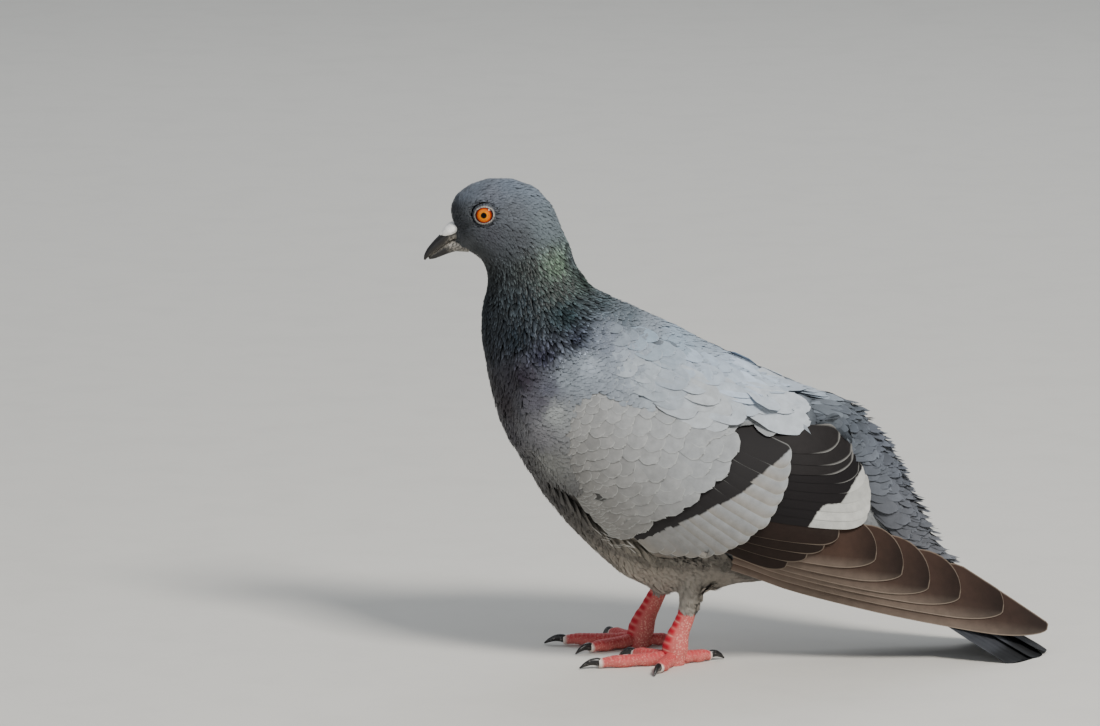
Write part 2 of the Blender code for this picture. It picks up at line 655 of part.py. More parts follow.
def make_leg(side):
    """Shank with the ball of the foot, feathered thigh, four toes and their claws."""
    leg = LEGS[side]
    tag = "_" + SIDE_NAMES[side]
    y = leg["hub"][1]
    shank = upright("shank" + tag, leg["shank"], y, SHANK_HALF_DEPTHS, SHANK_HALF_WIDTHS)
    thigh = upright("thigh" + tag, leg["thigh"], y, THIGH_HALF_DEPTHS, THIGH_HALF_WIDTHS)
    toes = []
    claws = []
    for name in ("middle_toe", "hallux", "outer_toe", "inner_toe"):
        toe, nail = make_toe(name, side, leg["hub"], leg[name])
        for neighbour in (shank, *toes):
            clear_room(toe, neighbour)
        toes.append(toe)
        claws.append(nail)
    return shank, thigh, toes, claws


# ---------------------------------------------------------------- the bird

def make_bird():
    clear_scene()
    slate = make_material("head plumage", "#5f676f")
    neck_plumage = make_material("neck plumage", "#3d4443", 0.45)
    breast_plumage = make_material("breast plumage", "#4a4048", 0.5)
    belly_plumage = make_material("belly plumage", "#6d6c6a")
    back_plumage = make_material("back plumage", "#a3a7ab")
    rump_plumage = make_material("rump plumage", "#5b6068")
    wing_plumage = {name: make_material(name.replace("_", " "), colour)
                    for name, colour in WING_COLOURS.items()}
    tail_plumage = make_material("tail plumage", "#3c3d42")
    horn = make_material("bill horn", "#45413e", 0.4)
    cere_skin = make_material("cere skin", "#dfddd8", 0.6)
    iris = make_material("eye", "#d97f1c", 0.05)
    leg_skin = make_material("leg skin", "#c2584f", 0.55)
    claw_horn = make_material("claw horn", "#33302f", 0.35)

    body = make_body()
    for name, piece in make_bill().items():
        dress(piece, cere_skin if name == "cere" else horn)
        if name == "cere":
            clear_room(body["head"], piece)

    for side in (LEFT, RIGHT):
        eye = make_eye(side)
        clear_room(body["head"], eye)
        dress(eye, iris)

    beds = []
    for side in (LEFT, RIGHT):
        beds.append(wing_bed(side))
        for name in ("neck", "breast", "trunk", "rump"):
            boolean(body[name], beds[-1], "DIFFERENCE")
        for name, piece in make_wing(side).items():
            dress(piece, wing_plumage[name.rsplit("_", 1)[0]])

    slot = tail_slot()
    boolean(body["rump"], slot, "DIFFERENCE")
    remove(slot)
    for side in (LEFT, RIGHT):
        for pair in range(TAIL_PAIRS):
            feather = tail_feather(side, pair)
            for bed in beds:
                boolean(feather, bed, "DIFFERENCE")
            dress(feather, tail_plumage)
    for bed in beds:
        remove(bed)

    for side in (LEFT, RIGHT):
        shank, thigh, toes, claws = make_leg(side)
        for name in ("trunk", "rump"):
            clear_room(body[name], thigh)
        clear_room(thigh, shank)
        dress(shank, leg_skin)
        dress(thigh, belly_plumage)
        for toe in toes:
            dress(toe, leg_skin)
        for nail in claws:
            dress(nail, claw_horn)

    for name, paint in (("head", slate), ("neck", neck_plumage), ("breast", breast_plumage),
                        ("trunk", belly_plumage), ("mantle", back_plumage),
                        ("rump", rump_plumage)):
        dress(body[name], paint)


make_bird()
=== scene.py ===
"""A feral pigeon standing still, dressed with plumage, bare parts, a floor and light.

The bird faces -X with its left side toward -Y, in metres with +Z up. Places on the bird
are given in millimetres in its side view: x toward the tail, z up from the floor.
"""
import contextlib
import math

import bpy
import numpy as np
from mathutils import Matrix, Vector
from mathutils.bvhtree import BVHTree


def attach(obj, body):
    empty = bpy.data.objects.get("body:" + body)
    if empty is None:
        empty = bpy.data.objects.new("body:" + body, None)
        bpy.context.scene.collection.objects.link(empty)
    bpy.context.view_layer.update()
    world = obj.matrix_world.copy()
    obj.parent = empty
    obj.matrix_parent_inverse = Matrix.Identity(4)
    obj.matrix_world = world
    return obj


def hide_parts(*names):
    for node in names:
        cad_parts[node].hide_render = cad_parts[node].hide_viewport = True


bl_info = {
    "name": "Standing pigeon",
    "version": (1, 0, 0),
    "blender": (4, 5, 0),
    "location": "View3D > Sidebar > Pigeon",
    "description": "Dresses the solids of a standing pigeon with feathers, eyes, bill and feet",
    "category": "Object",
}

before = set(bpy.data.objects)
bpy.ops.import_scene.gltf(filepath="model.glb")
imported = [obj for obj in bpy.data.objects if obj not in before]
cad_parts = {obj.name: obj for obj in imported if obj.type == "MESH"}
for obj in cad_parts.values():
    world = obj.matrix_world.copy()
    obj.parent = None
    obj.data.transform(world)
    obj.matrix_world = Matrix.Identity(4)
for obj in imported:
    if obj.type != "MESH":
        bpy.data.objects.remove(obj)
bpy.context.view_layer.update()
MM = 0.001
LEFT, RIGHT = -1, 1       # the sign of y on each side
SIDE_NAMES = {LEFT: "left", RIGHT: "right"}
MERGE = 1e-6              # points nearer than this are joined
SHARP_ANGLE = math.radians(60)
COAT_SEED, WING_SEED, TAIL_SEED, BILL_SEED = 7, 11, 5, 2
NO_BAR = -5.0             # the mark of a feather outside the wing bars

# Places over head, neck and body: coat, x, z, lie of the feathers (degrees up from the
# tailward direction), depth of the coat, feather length, half width, colour.
PLACES = (
    ("head", -114.8, 181.5, 72, 0.9, 1.6, 0.32, "#33353b"),
    ("head", -112.5, 189.0, 55, 0.8, 2.2, 0.42, "#646d7a"),
    ("head", -106.0, 194.0, 20, 1.0, 2.9, 0.52, "#66707d"),
    ("head", -95.0, 195.6, -2, 1.2, 3.5, 0.60, "#6b7684"),
    ("head", -84.0, 193.0, -25, 1.4, 4.0, 0.66, "#6b7682"),
    ("head", -75.5, 185.5, -52, 1.6, 4.4, 0.72, "#646f77"),
    ("head", -113.0, 177.5, 10, 0.5, 1.1, 0.28, "#34383e"),
    ("head", -109.0, 181.5, 4, 0.6, 1.5, 0.34, "#52565a"),
    ("head", -102.0, 189.0, -6, 0.9, 2.5, 0.48, "#666b75"),
    ("head", -94.0, 183.0, -18, 1.1, 3.0, 0.55, "#595e65"),
    ("head", -102.0, 175.0, -24, 0.8, 2.2, 0.44, "#494b52"),
    ("head", -110.5, 170.5, -12, 0.6, 1.4, 0.32, "#4d5053"),
    ("head", -107.0, 165.5, -16, 0.8, 1.8, 0.38, "#323536"),
    ("head", -91.0, 174.0, -42, 1.2, 3.2, 0.58, "#474b50"),
    ("head", -80.0, 179.0, -55, 1.5, 4.0, 0.68, "#606a70"),
    # The green and purple tints of the neck, breast and shoulder colours are the neck's iridescent sheen,
    # painted in place over dark plumage.
    ("neck", -102.5, 158.0, -76, 1.3, 3.2, 0.58, "#242727"),
    ("neck", -76.0, 164.5, -62, 1.9, 4.8, 0.75, "#5a6d5c"),
    ("neck", -69.5, 166.0, -58, 1.9, 4.8, 0.75, "#454b4e"),
    ("neck", -88.0, 163.0, -64, 1.7, 4.2, 0.68, "#2a2f2e"),
    ("neck", -77.0, 155.0, -64, 2.1, 5.0, 0.78, "#2a3431"),
    ("neck", -64.5, 157.0, -58, 2.3, 5.4, 0.80, "#29352f"),
    ("neck", -88.0, 151.0, -72, 2.3, 5.2, 0.76, "#252d32"),
    ("neck", -103.0, 145.0, -88, 2.1, 4.8, 0.72, "#1c2125"),
    ("neck", -103.5, 132.0, -90, 2.5, 5.6, 0.80, "#1a1e24"),
    ("neck", -89.0, 137.0, -80, 2.7, 6.0, 0.85, "#151d24"),
    ("neck", -73.0, 144.0, -62, 2.7, 6.0, 0.85, "#1f2d31"),
    ("neck", -57.5, 149.0, -46, 2.7, 6.0, 0.85, "#2d393d"),
    ("neck", -69.0, 135.5, -54, 2.8, 6.4, 0.85, "#2f3340"),
    ("neck", -80.0, 130.0, -68, 3.0, 6.4, 0.90, "#2b2b3a"),
    ("breast", -101.0, 117.0, -84, 2.8, 7.0, 0.90, "#19161d"),
    ("breast", -93.0, 112.0, -76, 3.0, 7.4, 0.90, "#271f25"),
    ("breast", -87.5, 122.0, -70, 2.6, 7.0, 0.90, "#251e29"),
    ("breast", -92.0, 99.0, -70, 3.0, 7.6, 0.95, "#2e2a32"),
    ("breast", -88.0, 86.0, -62, 3.0, 8.0, 1.00, "#363334"),
    ("breast", -82.0, 74.0, -56, 3.0, 8.2, 1.05, "#433f3c"),
    ("shoulder", -83.5, 114.0, -66, 2.2, 7.0, 0.85, "#46444d"),
    ("shoulder", -80.0, 119.5, -60, 2.1, 7.0, 0.85, "#50515d"),
    ("shoulder", -77.5, 110.0, -62, 2.0, 7.0, 0.90, "#8f9291"),
    ("shoulder", -83.0, 102.0, -66, 2.0, 7.0, 0.90, "#6c6b6e"),
    ("shoulder", -79.5, 91.0, -62, 2.0, 7.0, 0.90, "#7d7d79"),
    ("shoulder", -73.5, 122.5, -50, 2.1, 7.4, 0.95, "#838b93"),
    ("shoulder", -66.0, 127.0, -44, 2.2, 7.8, 1.00, "#949da7"),
    ("belly", -73.0, 60.0, -50, 3.0, 9.0, 1.10, "#5a554f"),
    ("belly", -62.0, 48.0, -42, 3.0, 9.0, 1.10, "#7d766c"),
    ("belly", -52.0, 38.0, -36, 3.0, 9.0, 1.10, "#9f978b"),
    ("belly", -38.0, 29.0, -26, 3.0, 9.0, 1.10, "#9f978b"),
    ("belly", -18.0, 29.0, -16, 3.0, 9.0, 1.10, "#8d857a"),
    ("thigh", -21.0, 22.0, -84, 0.6, 4.4, 0.55, "#c9c4ba"),
    ("thigh", -19.5, 27.0, -76, 0.9, 5.4, 0.65, "#9e988e"),
    ("thigh", -17.0, 33.0, -66, 1.2, 6.4, 0.80, "#807a71"),
    ("thigh", -31.0, 22.0, -78, 0.6, 4.4, 0.55, "#aaa69d"),
    ("thigh", -29.0, 27.0, -72, 0.9, 5.4, 0.65, "#807c74"),
    ("belly", 5.0, 29.0, -10, 3.0, 9.0, 1.40, "#57524d"),
    ("vent", 35.0, 27.0, -13, 3.0, 12.0, 2.60, "#46454a"),
    ("vent", 60.0, 22.0, -15, 2.4, 14.0, 3.00, "#3f4146"),
    ("vent", 88.0, 17.0, -16, 1.4, 12.0, 3.00, "#37383e"),
    ("belly", -42.0, 52.0, -40, 3.0, 9.0, 1.10, "#918a7e"),
    ("belly", 0.0, 44.0, -26, 3.0, 9.0, 1.30, "#5f5a54"),
    ("vent", 40.0, 44.0, -28, 3.0, 12.0, 2.40, "#4c4b4e"),
    ("back", -51.0, 142.5, -34, 2.4, 7.6, 1.20, "#4d5860"),
    ("back", -44.0, 138.0, -28, 2.4, 9.0, 1.70, "#7f8892"),
    ("back", -60.0, 134.0, -44, 2.4, 7.6, 1.20, "#737b88"),
    ("back", -53.0, 130.0, -36, 2.4, 9.0, 1.60, "#98a1ac"),
    ("back", -35.0, 134.0, -26, 2.4, 11.0, 2.40, "#90a1b0"),
    ("back", -40.0, 122.0, -30, 2.4, 11.0, 2.40, "#a2aab1"),
    ("back", -10.0, 126.0, -20, 2.4, 13.0, 3.00, "#a4b3c3"),
    ("back", -9.0, 108.0, -24, 2.4, 13.0, 3.20, "#abb0b4"),
    ("back", 10.0, 117.0, -17, 2.4, 14.0, 3.20, "#b9c8d9"),
    ("back", 17.0, 104.0, -17, 2.4, 14.0, 3.20, "#b9c0c7"),
    ("back", 22.0, 112.0, -13, 2.6, 14.0, 3.20, "#97a4b1"),
    ("rump", 33.5, 100.0, -10, 3.0, 13.0, 2.10, "#4f565f"),
    ("rump", 36.0, 107.0, -6, 3.4, 14.0, 2.10, "#50575f"),
    ("rump", 48.0, 100.0, -10, 4.0, 15.0, 2.10, "#585d68"),
    ("rump", 57.0, 86.0, -15, 4.0, 15.0, 2.20, "#585d66"),
    ("rump", 64.0, 70.0, -22, 4.0, 16.0, 2.40, "#5a5d64"),
    ("rump", 75.0, 51.0, -29, 3.0, 17.0, 2.60, "#67696f"),
    ("rump", 88.0, 33.0, -31, 1.8, 14.0, 2.80, "#4a4c51"),
)

# The outer face of a folded wing: at each x, its breadth from the plane of symmetry at
# a low line and at a high line, and how far it swells between them.
WING_FACE = (
    (-90.0, (85.0, 24.0), (125.0, 20.0), 10.0),
    (-60.0, (57.0, 33.0), (121.0, 34.0), 11.0),
    (-30.0, (49.0, 38.0), (112.0, 37.0), 12.5),
    (0.0, (40.0, 37.0), (103.0, 34.0), 13.5),
    (30.0, (28.0, 35.0), (98.0, 29.0), 10.0),
    (60.0, (20.0, 33.0), (64.0, 21.0), 4.5),
    (90.0, (14.0, 28.0), (38.0, 16.5), 1.5),
    (125.0, (8.0, 20.0), (15.0, 16.5), 0.0),
)
WING_OUTLINE = ((-89.6, 113), (-89, 103), (-84.7, 89.5), (-75.7, 77.5), (-66, 67.5), (-56, 57.5),
                (-42, 52), (-26, 49), (-11, 49), (1, 37.5), (16, 32), (33, 27), (50, 22), (71, 18),
                (93, 13.7), (121, 8.6), (124, 12), (116, 20), (102, 29.6), (84, 41), (72, 52),
                (60, 58), (51, 72), (45, 85), (37, 93), (25, 98), (10, 104), (-9, 101),
                (-28, 111), (-62, 121), (-77, 127.5), (-86, 124))

# Tips of the covert rows, from the lower to the upper edge of the shield.
FRONT_TIPS = ((-53, 57.5), (-63, 68.5), (-71.5, 80), (-76, 93), (-76, 106), (-71, 116), (-60, 124))
MIDDLE_TIPS = ((-45, 53.5), (-37, 64), (-26, 68.3), (-14.5, 77), (-6.5, 85.6), (-1.5, 96), (-3, 108))
GREAT_TIPS = ((-36, 51), (-22, 49), (-10, 49.3), (0, 55.5), (8, 62.4), (13.5, 71), (17, 80), (18.3, 89))
ROW_PLACES = (0.0, 0.045, 0.09, 0.14, 0.195, 0.26, 0.33, 0.41, 0.50, 0.60, 0.71, 0.83, 0.92, 1.0)
FIRST_BAR = ((-34.7, 58.6), (-29.5, 61.3), (-22.3, 65.2), (-15.5, 69), (-9, 72.6), (-2.5, 75.8),
             (5.5, 81.6), (10.8, 86.4), (17.8, 91.7))
SLIT = ((-84, 84), (-77, 77), (-66, 66.5), (-57, 56.5), (-42, 50.5), (-26, 47.5), (-10, 46), (0, 38),
        (14, 33))
SECOND_BAR = ((14, 52), (24, 57.6), (28.3, 64), (30.6, 68), (37.6, 68), (42, 73), (47, 79))
SCAPULAR_TIPS = ((-56, 119), (-48, 117), (-37, 114.3), (-28, 111.3), (-19, 106),
                 (-9, 101), (-1, 103), (8, 105), (15, 104.7), (25, 98.5), (28.6, 104))

# The skin bridges the hollows between these nodes with hulls in short slabs: first x and
# last x, nodes, height it starts at (None: just under the scapulars' edge), breadth share.
WINGS = ["wing_coverts_left", "wing_coverts_right"]
TERTIAL_NODES = ["tertials_left", "tertials_right"]
FLIGHTS = TERTIAL_NODES + ["secondaries_left", "secondaries_right"]
SLAB, SLAB_OVERLAP = 8, 0.5
ARM_HULL = (-100, -14, 0)            # low x, high x and floor of the folded arm's hull
HOLLOWS = ((-52, 30, WINGS + TERTIAL_NODES + ["mantle", "trunk", "rump"], None, 1),
           (-92, -70, WINGS + ["mantle", "breast"], 86, 1),
           (-68, -52, WINGS + ["mantle", "breast"], 106, 1),
           (24, 40, FLIGHTS + ["trunk", "rump"], 56, 0.8),
           (40, 48, FLIGHTS + ["trunk", "rump"], 26, 0.8),
           (48, 80, ["rump"], 26, 0.94))

# The face: how far it draws in, the eye's bare ring, and the bare skin at the bill's base.
FACE_DRAW = 0.28
EYE_CLEAR_SIDE, EYE_CLEAR_RADIUS = 11.5, 3.8
BILL_TOP, BILL_LOW, BILL_HALF = 177.6, 166.5, 6.5
CERE_LOW, CERE_BACK, BILL_BACK = 171.5, -112.8, -113.4

# Small coverts: the number of great ones, a lone one over the bar, and the tufts of down.
GREAT_COUNT = 15
LONE_TIP = (12.6, 97.6)
DOWN_LINE = ((-57, 56.5), (-50, 51.5), (-42, 50.5))
DOWN_COUNT = 14

# The eye's ring in millimetres: its opening, how flat it is, its tube as a share of the
# torus, and the number and height of its beads.
RING_OPENING, RING_FLATNESS, RING_TUBE = 4.0, 0.86, 0.2
BEADS, BEAD_HEIGHT = 22, 0.10

# The stage, in metres: what the lamps and the camera look at, and the lamps' place, size,
# watts and tint.
LAMP_AIM, CAMERA_AIM = Vector((0, 0, 0.1)), Vector((-0.0759, 0, 0.1199))
CAMERA_AZIMUTH, CAMERA_ELEVATION = math.radians(-3), math.radians(10)
CAMERA_DISTANCE, CAMERA_LENS, CAMERA_SENSOR = 3.6, 294.5, 36
SKY_TINT, SKY_STRENGTH = (0.86, 0.92, 1.0, 1), 0.34
FLOOR_SIZE = 24
LAMPS = (("Key", (0.75, -1.25, 1.6), 0.5, 50.0, (1.0, 0.97, 0.92)),
         ("Fill", (-1.6, -1.4, 0.9), 1.4, 7.0, (0.93, 0.96, 1.0)),
         ("Back", (0.2, 1.6, 1.6), 1.2, 14.0, (0.92, 0.96, 1.0)))

# Rows of shoulder feathers: share of the way up to the ridge of the back, number, length
# and half width; and the straight upper edge of the folded primaries.
SCAPULAR_ROWS = ((0.0, 12, 24, 6.0), (0.2, 12, 23, 6.0), (0.4, 12, 21, 5.8), (0.58, 12, 19, 5.4),
                 (0.74, 12, 17, 5.0))
BACK_RIDGE = ((-62, 145), (-51, 142), (-35, 134), (-10, 126), (10, 117), (26, 111))
MANTLE_STREAK = ((-45, 134), (-37, 131.5))
PRIMARY_EDGE = ((20, 80), (60, 58.5), (80, 44.6), (100, 30.5), (125, 13.0))
FAR_WING_DROP = 4.5

# Flight feathers: tip, root, lower and upper vane widths, depth under the wing's face
# at the tip and at the root.
TERTIALS = (((44.2, 84.5), (-8, 92), 5.5, 8.0, 2.3, 2.6), ((43.8, 87.5), (-8, 96), 5.0, 7.0, 1.9, 2.4),
            ((38.8, 93), (-8, 99), 5.0, 5.5, 1.5, 2.2))
SECONDARIES = (((49.5, 61.0), (-8, 72), 4.5, 9.0, 4.3, 4.4), ((50.8, 64.0), (-8, 75.5), 4.5, 9.0, 4.0, 4.1),
               ((51.2, 67.5), (-8, 79), 4.5, 9.0, 3.7, 3.8), ((50.6, 71.2), (-8, 82.5), 4.5, 9.0, 3.4, 3.5),
               ((48.8, 75.2), (-8, 86), 4.5, 8.5, 3.1, 3.2), ((46.5, 79.5), (-8, 89), 4.5, 8.0, 2.8, 2.9))
OUTER_SECONDARIES = (((16.5, 43.2), (-14, 57), 3.4, 7.0, 5.6, 5.4),
                     ((24.5, 47.2), (-14, 60), 3.6, 7.0, 5.3, 5.1),
                     ((31.5, 51.0), (-14, 63), 3.8, 7.0, 5.0, 4.8),
                     ((37.5, 55.2), (-14, 66), 4.2, 7.0, 4.7, 4.5))
PRIMARIES = (((124.2, 11.2), (-4, 43.0), 5.4, 12.5, 9.2, 9.2),
             ((106.0, 19.0), (-4, 46.5), 5.0, 14.5, 8.6, 8.6),
             ((88.0, 26.0), (-4, 49.5), 4.8, 15.5, 8.0, 8.0), ((75.0, 31.0), (-4, 52.0), 4.8, 17.5, 7.4, 7.4),
             ((64.0, 37.5), (-4, 54.5), 4.8, 17.0, 6.8, 6.8), ((53.0, 44.5), (-4, 57.0), 4.8, 15.5, 6.2, 6.2))

TAIL_SLOPE = math.radians(30)
TAIL_ROOT_X, TAIL_END_X = 30.0, 126.0
TAIL_PAIRS = 6
TAIL_SPREAD = math.radians(4.5)
TAIL_STEP = 0.5
TAIL_ROOT_SPACING = 0.8
TAIL_DROOP = math.radians(17)

EYE_CENTRE = (-101.9, 7.9, 181.6)
LORE = ((-106.3, 180.0), (-109.0, 178.0), (-112.5, 176.0))
EYE_LOOK = (-0.20, 0.975, 0.06)

LEGS = {
    LEFT: {"hub": (-27.5, -18.0),
           "shank": ((-27.5, 0.0), (-27.2, 4.0), (-25.6, 11.5), (-22.3, 19.5), (-20.3, 28.0), (-19.0, 36.0)),
           "toes": {"hallux": (-6.3, -9.0), "inner_toe": (-48.0, -1.0),
                    "middle_toe": (-65.5, -26.0), "outer_toe": (-36.6, -42.0)}},
    RIGHT: {"hub": (-39.4, 18.0),
            "shank": ((-39.4, 0.0), (-39.0, 4.0), (-36.6, 11.5), (-32.6, 19.5), (-28.4, 28.0), (-25.0, 36.0)),
            "toes": {"hallux": (-20.5, 22.5), "inner_toe": (-65.5, 2.0),
                     "middle_toe": (-77.0, 24.0), "outer_toe": (-52.0, 42.0)}},
}
CLAW_LENGTHS = {"hallux": 6.5, "inner_toe": 7.5, "middle_toe": 8.5, "outer_toe": 7.0}


def linear(colour):
    """sRGB hex as linear red, green and blue."""
    channels = [int(colour[i:i + 2], 16) / 255 for i in (1, 3, 5)]
    return tuple(((c + 0.055) / 1.055) ** 2.4 if c > 0.04045 else c / 12.92 for c in channels)


def colour_setting(name, description, colour):
    return bpy.props.FloatVectorProperty(name=name, description=description, subtype="COLOR",
                                         size=3, min=0, max=1, default=linear(colour))


def length_setting(name, description, millimetres):
    return bpy.props.FloatProperty(name=name, description=description, subtype="DISTANCE",
                                   unit="LENGTH", min=0, default=millimetres * MM)


class PigeonSizes(bpy.types.PropertyGroup):
    """Sizes of the skin, feathers and bare parts."""
    skin_voxel: length_setting("Skin fineness", "Cell size of the skin's mesh", 1.3)
    skin_fill: length_setting("Gap closed", "Half the widest gap the skin closes", 1.0)
    arm_coat: length_setting("Arm coat", "Depth of the coverts over the folded arm", 2.0)
    blade: length_setting("Blade thickness", "Thickness of a flight feather", 0.34)
    eyeball: length_setting("Eyeball radius", "Radius of the eyeball", 5.4)
    pupil: length_setting("Pupil radius", "Radius of the pupil", 1.2)
    iris: length_setting("Iris radius", "Radius of the iris", 3.22)
    toe: length_setting("Toe radius", "Radius of a toe at its root", 2.75)


class PigeonColours(bpy.types.PropertyGroup):
    """Colours that aren't painted from place to place."""
    covert: colour_setting("Wing coverts", "Pale grey of the wing shield", "#a3a6a8")
    covert_low: colour_setting("Lower coverts", "Warmer grey low on the shield", "#9c978f")
    bar: colour_setting("Wing bar", "Black of the two wing bars", "#161314")
    tertial: colour_setting("Tertials", "Dark grey of the tertials", "#211e1e")
    primary: colour_setting("Primaries", "Brown grey of the primaries", "#3f2e26")
    primary_base: colour_setting("Primary base", "Paler grey of their outer vanes", "#6b5e54")
    lobe: colour_setting("Outer secondaries", "Dark brown of the outer secondaries", "#231a16")
    pale: colour_setting("Pale tips", "Pale tips of the secondaries", "#b6b6b1")
    tail: colour_setting("Tail", "Slate of the tail", "#383a3f")
    tail_band: colour_setting("Tail band", "Black band at the tail's end", "#1a1b1d")
    iris: colour_setting("Iris", "Orange of the iris", "#d96a00")
    iris_rim: colour_setting("Iris rim", "Red rim of the iris", "#8a1c02")
    orbit: colour_setting("Eye ring", "Bare skin round the eye", "#8f8b84")
    cere: colour_setting("Cere", "White skin over the nostrils", "#fbf9f4")
    horn: colour_setting("Bill", "Dark horn of the bill", "#151210")
    flake: colour_setting("Bill flakes", "Pale flaking on the bill's base", "#bdb7ac")
    leg: colour_setting("Leg", "Red of the scutes", "#b5142b")
    leg_pale: colour_setting("Leg scales", "Pinkish white of the small scales", "#eeb3a3")
    claw: colour_setting("Claw", "Dark horn of the claws", "#1f1d1d")
    floor: colour_setting("Floor", "Pale floor", "#d9d6cf")


# ---------------------------------------------------------------- shared helpers

def deselect_all():
    for thing in list(bpy.context.selected_objects):
        thing.select_set(False)


def make_active(thing):
    deselect_all()
    thing.select_set(True)
    bpy.context.view_layer.objects.active = thing


@contextlib.contextmanager
def editing(thing):
    """Edit mode on a thing, with all of it selected."""
    make_active(thing)
    bpy.ops.object.mode_set(mode="EDIT")
    bpy.ops.mesh.select_all(action="SELECT")
    yield
    bpy.ops.object.mode_set(mode="OBJECT")


def apply_modifier(thing, kind, **settings):
    """Add a modifier with these settings and apply it."""
    make_active(thing)
    modifier = thing.modifiers.new(kind, kind)
    for key, value in settings.items():
        setattr(modifier, key, value)
    bpy.ops.object.modifier_apply(modifier=modifier.name)


def node_copy(name):
    """A loose copy of a solid of the frame."""
    copy = bpy.data.objects.new(name + "_copy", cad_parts[name].data.copy())
    bpy.context.scene.collection.objects.link(copy)
    return copy


def join(things, name):
    deselect_all()
    for thing in things:
        thing.select_set(True)
    bpy.context.view_layer.objects.active = things[0]
    bpy.ops.object.join()
    joined = bpy.context.view_layer.objects.active
    joined.name = name
    joined.data.name = name
    return joined


def read_points(mesh):
    points = np.empty(len(mesh.vertices) * 3)
    mesh.vertices.foreach_get("co", points)
    return points.reshape(-1, 3)


def write_points(mesh, points):
    mesh.vertices.foreach_set("co", points.astype(np.float32).ravel())
    mesh.update()


def vertex_normals(mesh):
    normals = np.empty(len(mesh.vertices) * 3)
    mesh.vertex_normals.foreach_get("vector", normals)
    return normals.reshape(-1, 3)


def mark_points(piece, label, values):
    """Store a number at each point of a piece."""
    layer = piece.data.attributes.new(label, "FLOAT", "POINT")
    layer.data.foreach_set("value", values.astype(np.float32))


def paint_points(piece, colours):
    """Give a piece its painted colours, one for each point."""
    colours = np.column_stack([np.clip(colours, 0, 1), np.ones(len(colours))])
    paint = piece.data.attributes.new("Plumage", "FLOAT_COLOR", "POINT")
    paint.data.foreach_set("color", colours.astype(np.float32).ravel())


def unit(vectors):
    return vectors / np.maximum(1e-12, np.linalg.norm(vectors, axis=-1, keepdims=True))


def step_between(low, high, value):
    """A smooth step from 0 at low to 1 at high."""
    t = np.clip((value - low) / (high - low), 0, 1)
    return t * t * (3 - 2 * t)


def along_line(points, share):
    """Places at shares 0 to 1 of the length of a line through points."""
    points = np.array(points, float)
    lengths = np.concatenate([[0], np.cumsum(np.linalg.norm(np.diff(points, axis=0), axis=1))])
    reach = np.atleast_1d(share) * lengths[-1]
    return np.stack([np.interp(reach, lengths, points[:, k]) for k in range(points.shape[1])], 1)


def distance_to_line(places, line):
    """Distance of (x, z) places from a line, positive on its upper left side."""
    places = np.asarray(places, float)
    best = np.full(len(places), 1e9)
    sign = np.ones(len(places))
    line = np.array(line, float)
    for a, b in zip(line, line[1:]):
        d = b - a
        t = np.clip(((places - a) @ d) / (d @ d), 0, 1)
        gap = places - (a + t[:, None] * d)
        reach = np.linalg.norm(gap, axis=1)
        side = np.where(d[0] * gap[:, 1] - d[1] * gap[:, 0] >= 0, 1, -1)
        nearer = reach < best
        best = np.where(nearer, reach, best)
        sign = np.where(nearer, side, sign)
    return best * sign


def inside_outline(places, outline):
    """Which (x, z) places lie inside a closed outline."""
    inside = np.zeros(len(places), bool)
    x, z = places[:, 0], places[:, 1]
    for (ax, az), (bx, bz) in zip(outline, outline[1:] + outline[:1]):
        crosses = (az > z) != (bz > z)
        at = ax + (z - az) * (bx - ax) / (bz - az if bz != az else 1e-9)
        inside ^= crosses & (x < at)
    return inside


def place_weights(points):
    """How much each of the places counts at points on the body."""
    places = np.array([row[1:3] for row in PLACES])
    gaps = np.linalg.norm(points[:, None, (0, 2)] / MM - places[None], axis=2)
    return 1 / (gaps + 1.5) ** 3.5


def in_coat(points, names):
    """Which points belong to a coat, by the places that count most there."""
    weights = place_weights(points)
    coats = sorted({row[0] for row in PLACES})
    sums = np.stack([weights[:, [row[0] == coat for row in PLACES]].sum(1) for coat in coats], 1)
    return np.isin(sums.argmax(1), [coats.index(name) for name in names])


def blend_places(points):
    """Lie (x, z), coat depth, length, half width and colour at points on the body."""
    angles = np.radians([row[3] for row in PLACES])
    values = np.column_stack([np.cos(angles), np.sin(angles), [row[4:7] for row in PLACES],
                              [linear(row[7]) for row in PLACES]])
    weights = place_weights(points)
    mixed = (weights @ values) / weights.sum(1, keepdims=True)
    return mixed[:, :2], mixed[:, 2] * MM, mixed[:, 3] * MM, mixed[:, 4] * MM, mixed[:, 5:]


def wing_breadth(x, z):
    """Distance of a folded wing's outer face from the plane of symmetry, in millimetres."""
    rows = np.array([(row[0], *row[1], *row[2], row[3]) for row in WING_FACE])
    i = np.clip(np.searchsorted(rows[:, 0], x, side="right") - 1, 0, len(rows) - 2)
    t = ((x - rows[i, 0]) / (rows[i + 1, 0] - rows[i, 0]))[..., None]
    p, q, r, s = (rows[np.clip(n, 0, len(rows) - 1)] for n in (i - 1, i, i + 1, i + 2))
    row = 0.5 * (2 * q + (r - p) * t + (2 * p - 5 * q + 4 * r - s) * t ** 2
                 + (3 * q - p - 3 * r + s) * t ** 3)
    v = np.clip((z - row[..., 1]) / (row[..., 3] - row[..., 1]), -0.12, 1.12)
    return row[..., 2] + (row[..., 4] - row[..., 2]) * v + row[..., 5] * 4 * v * (1 - v)


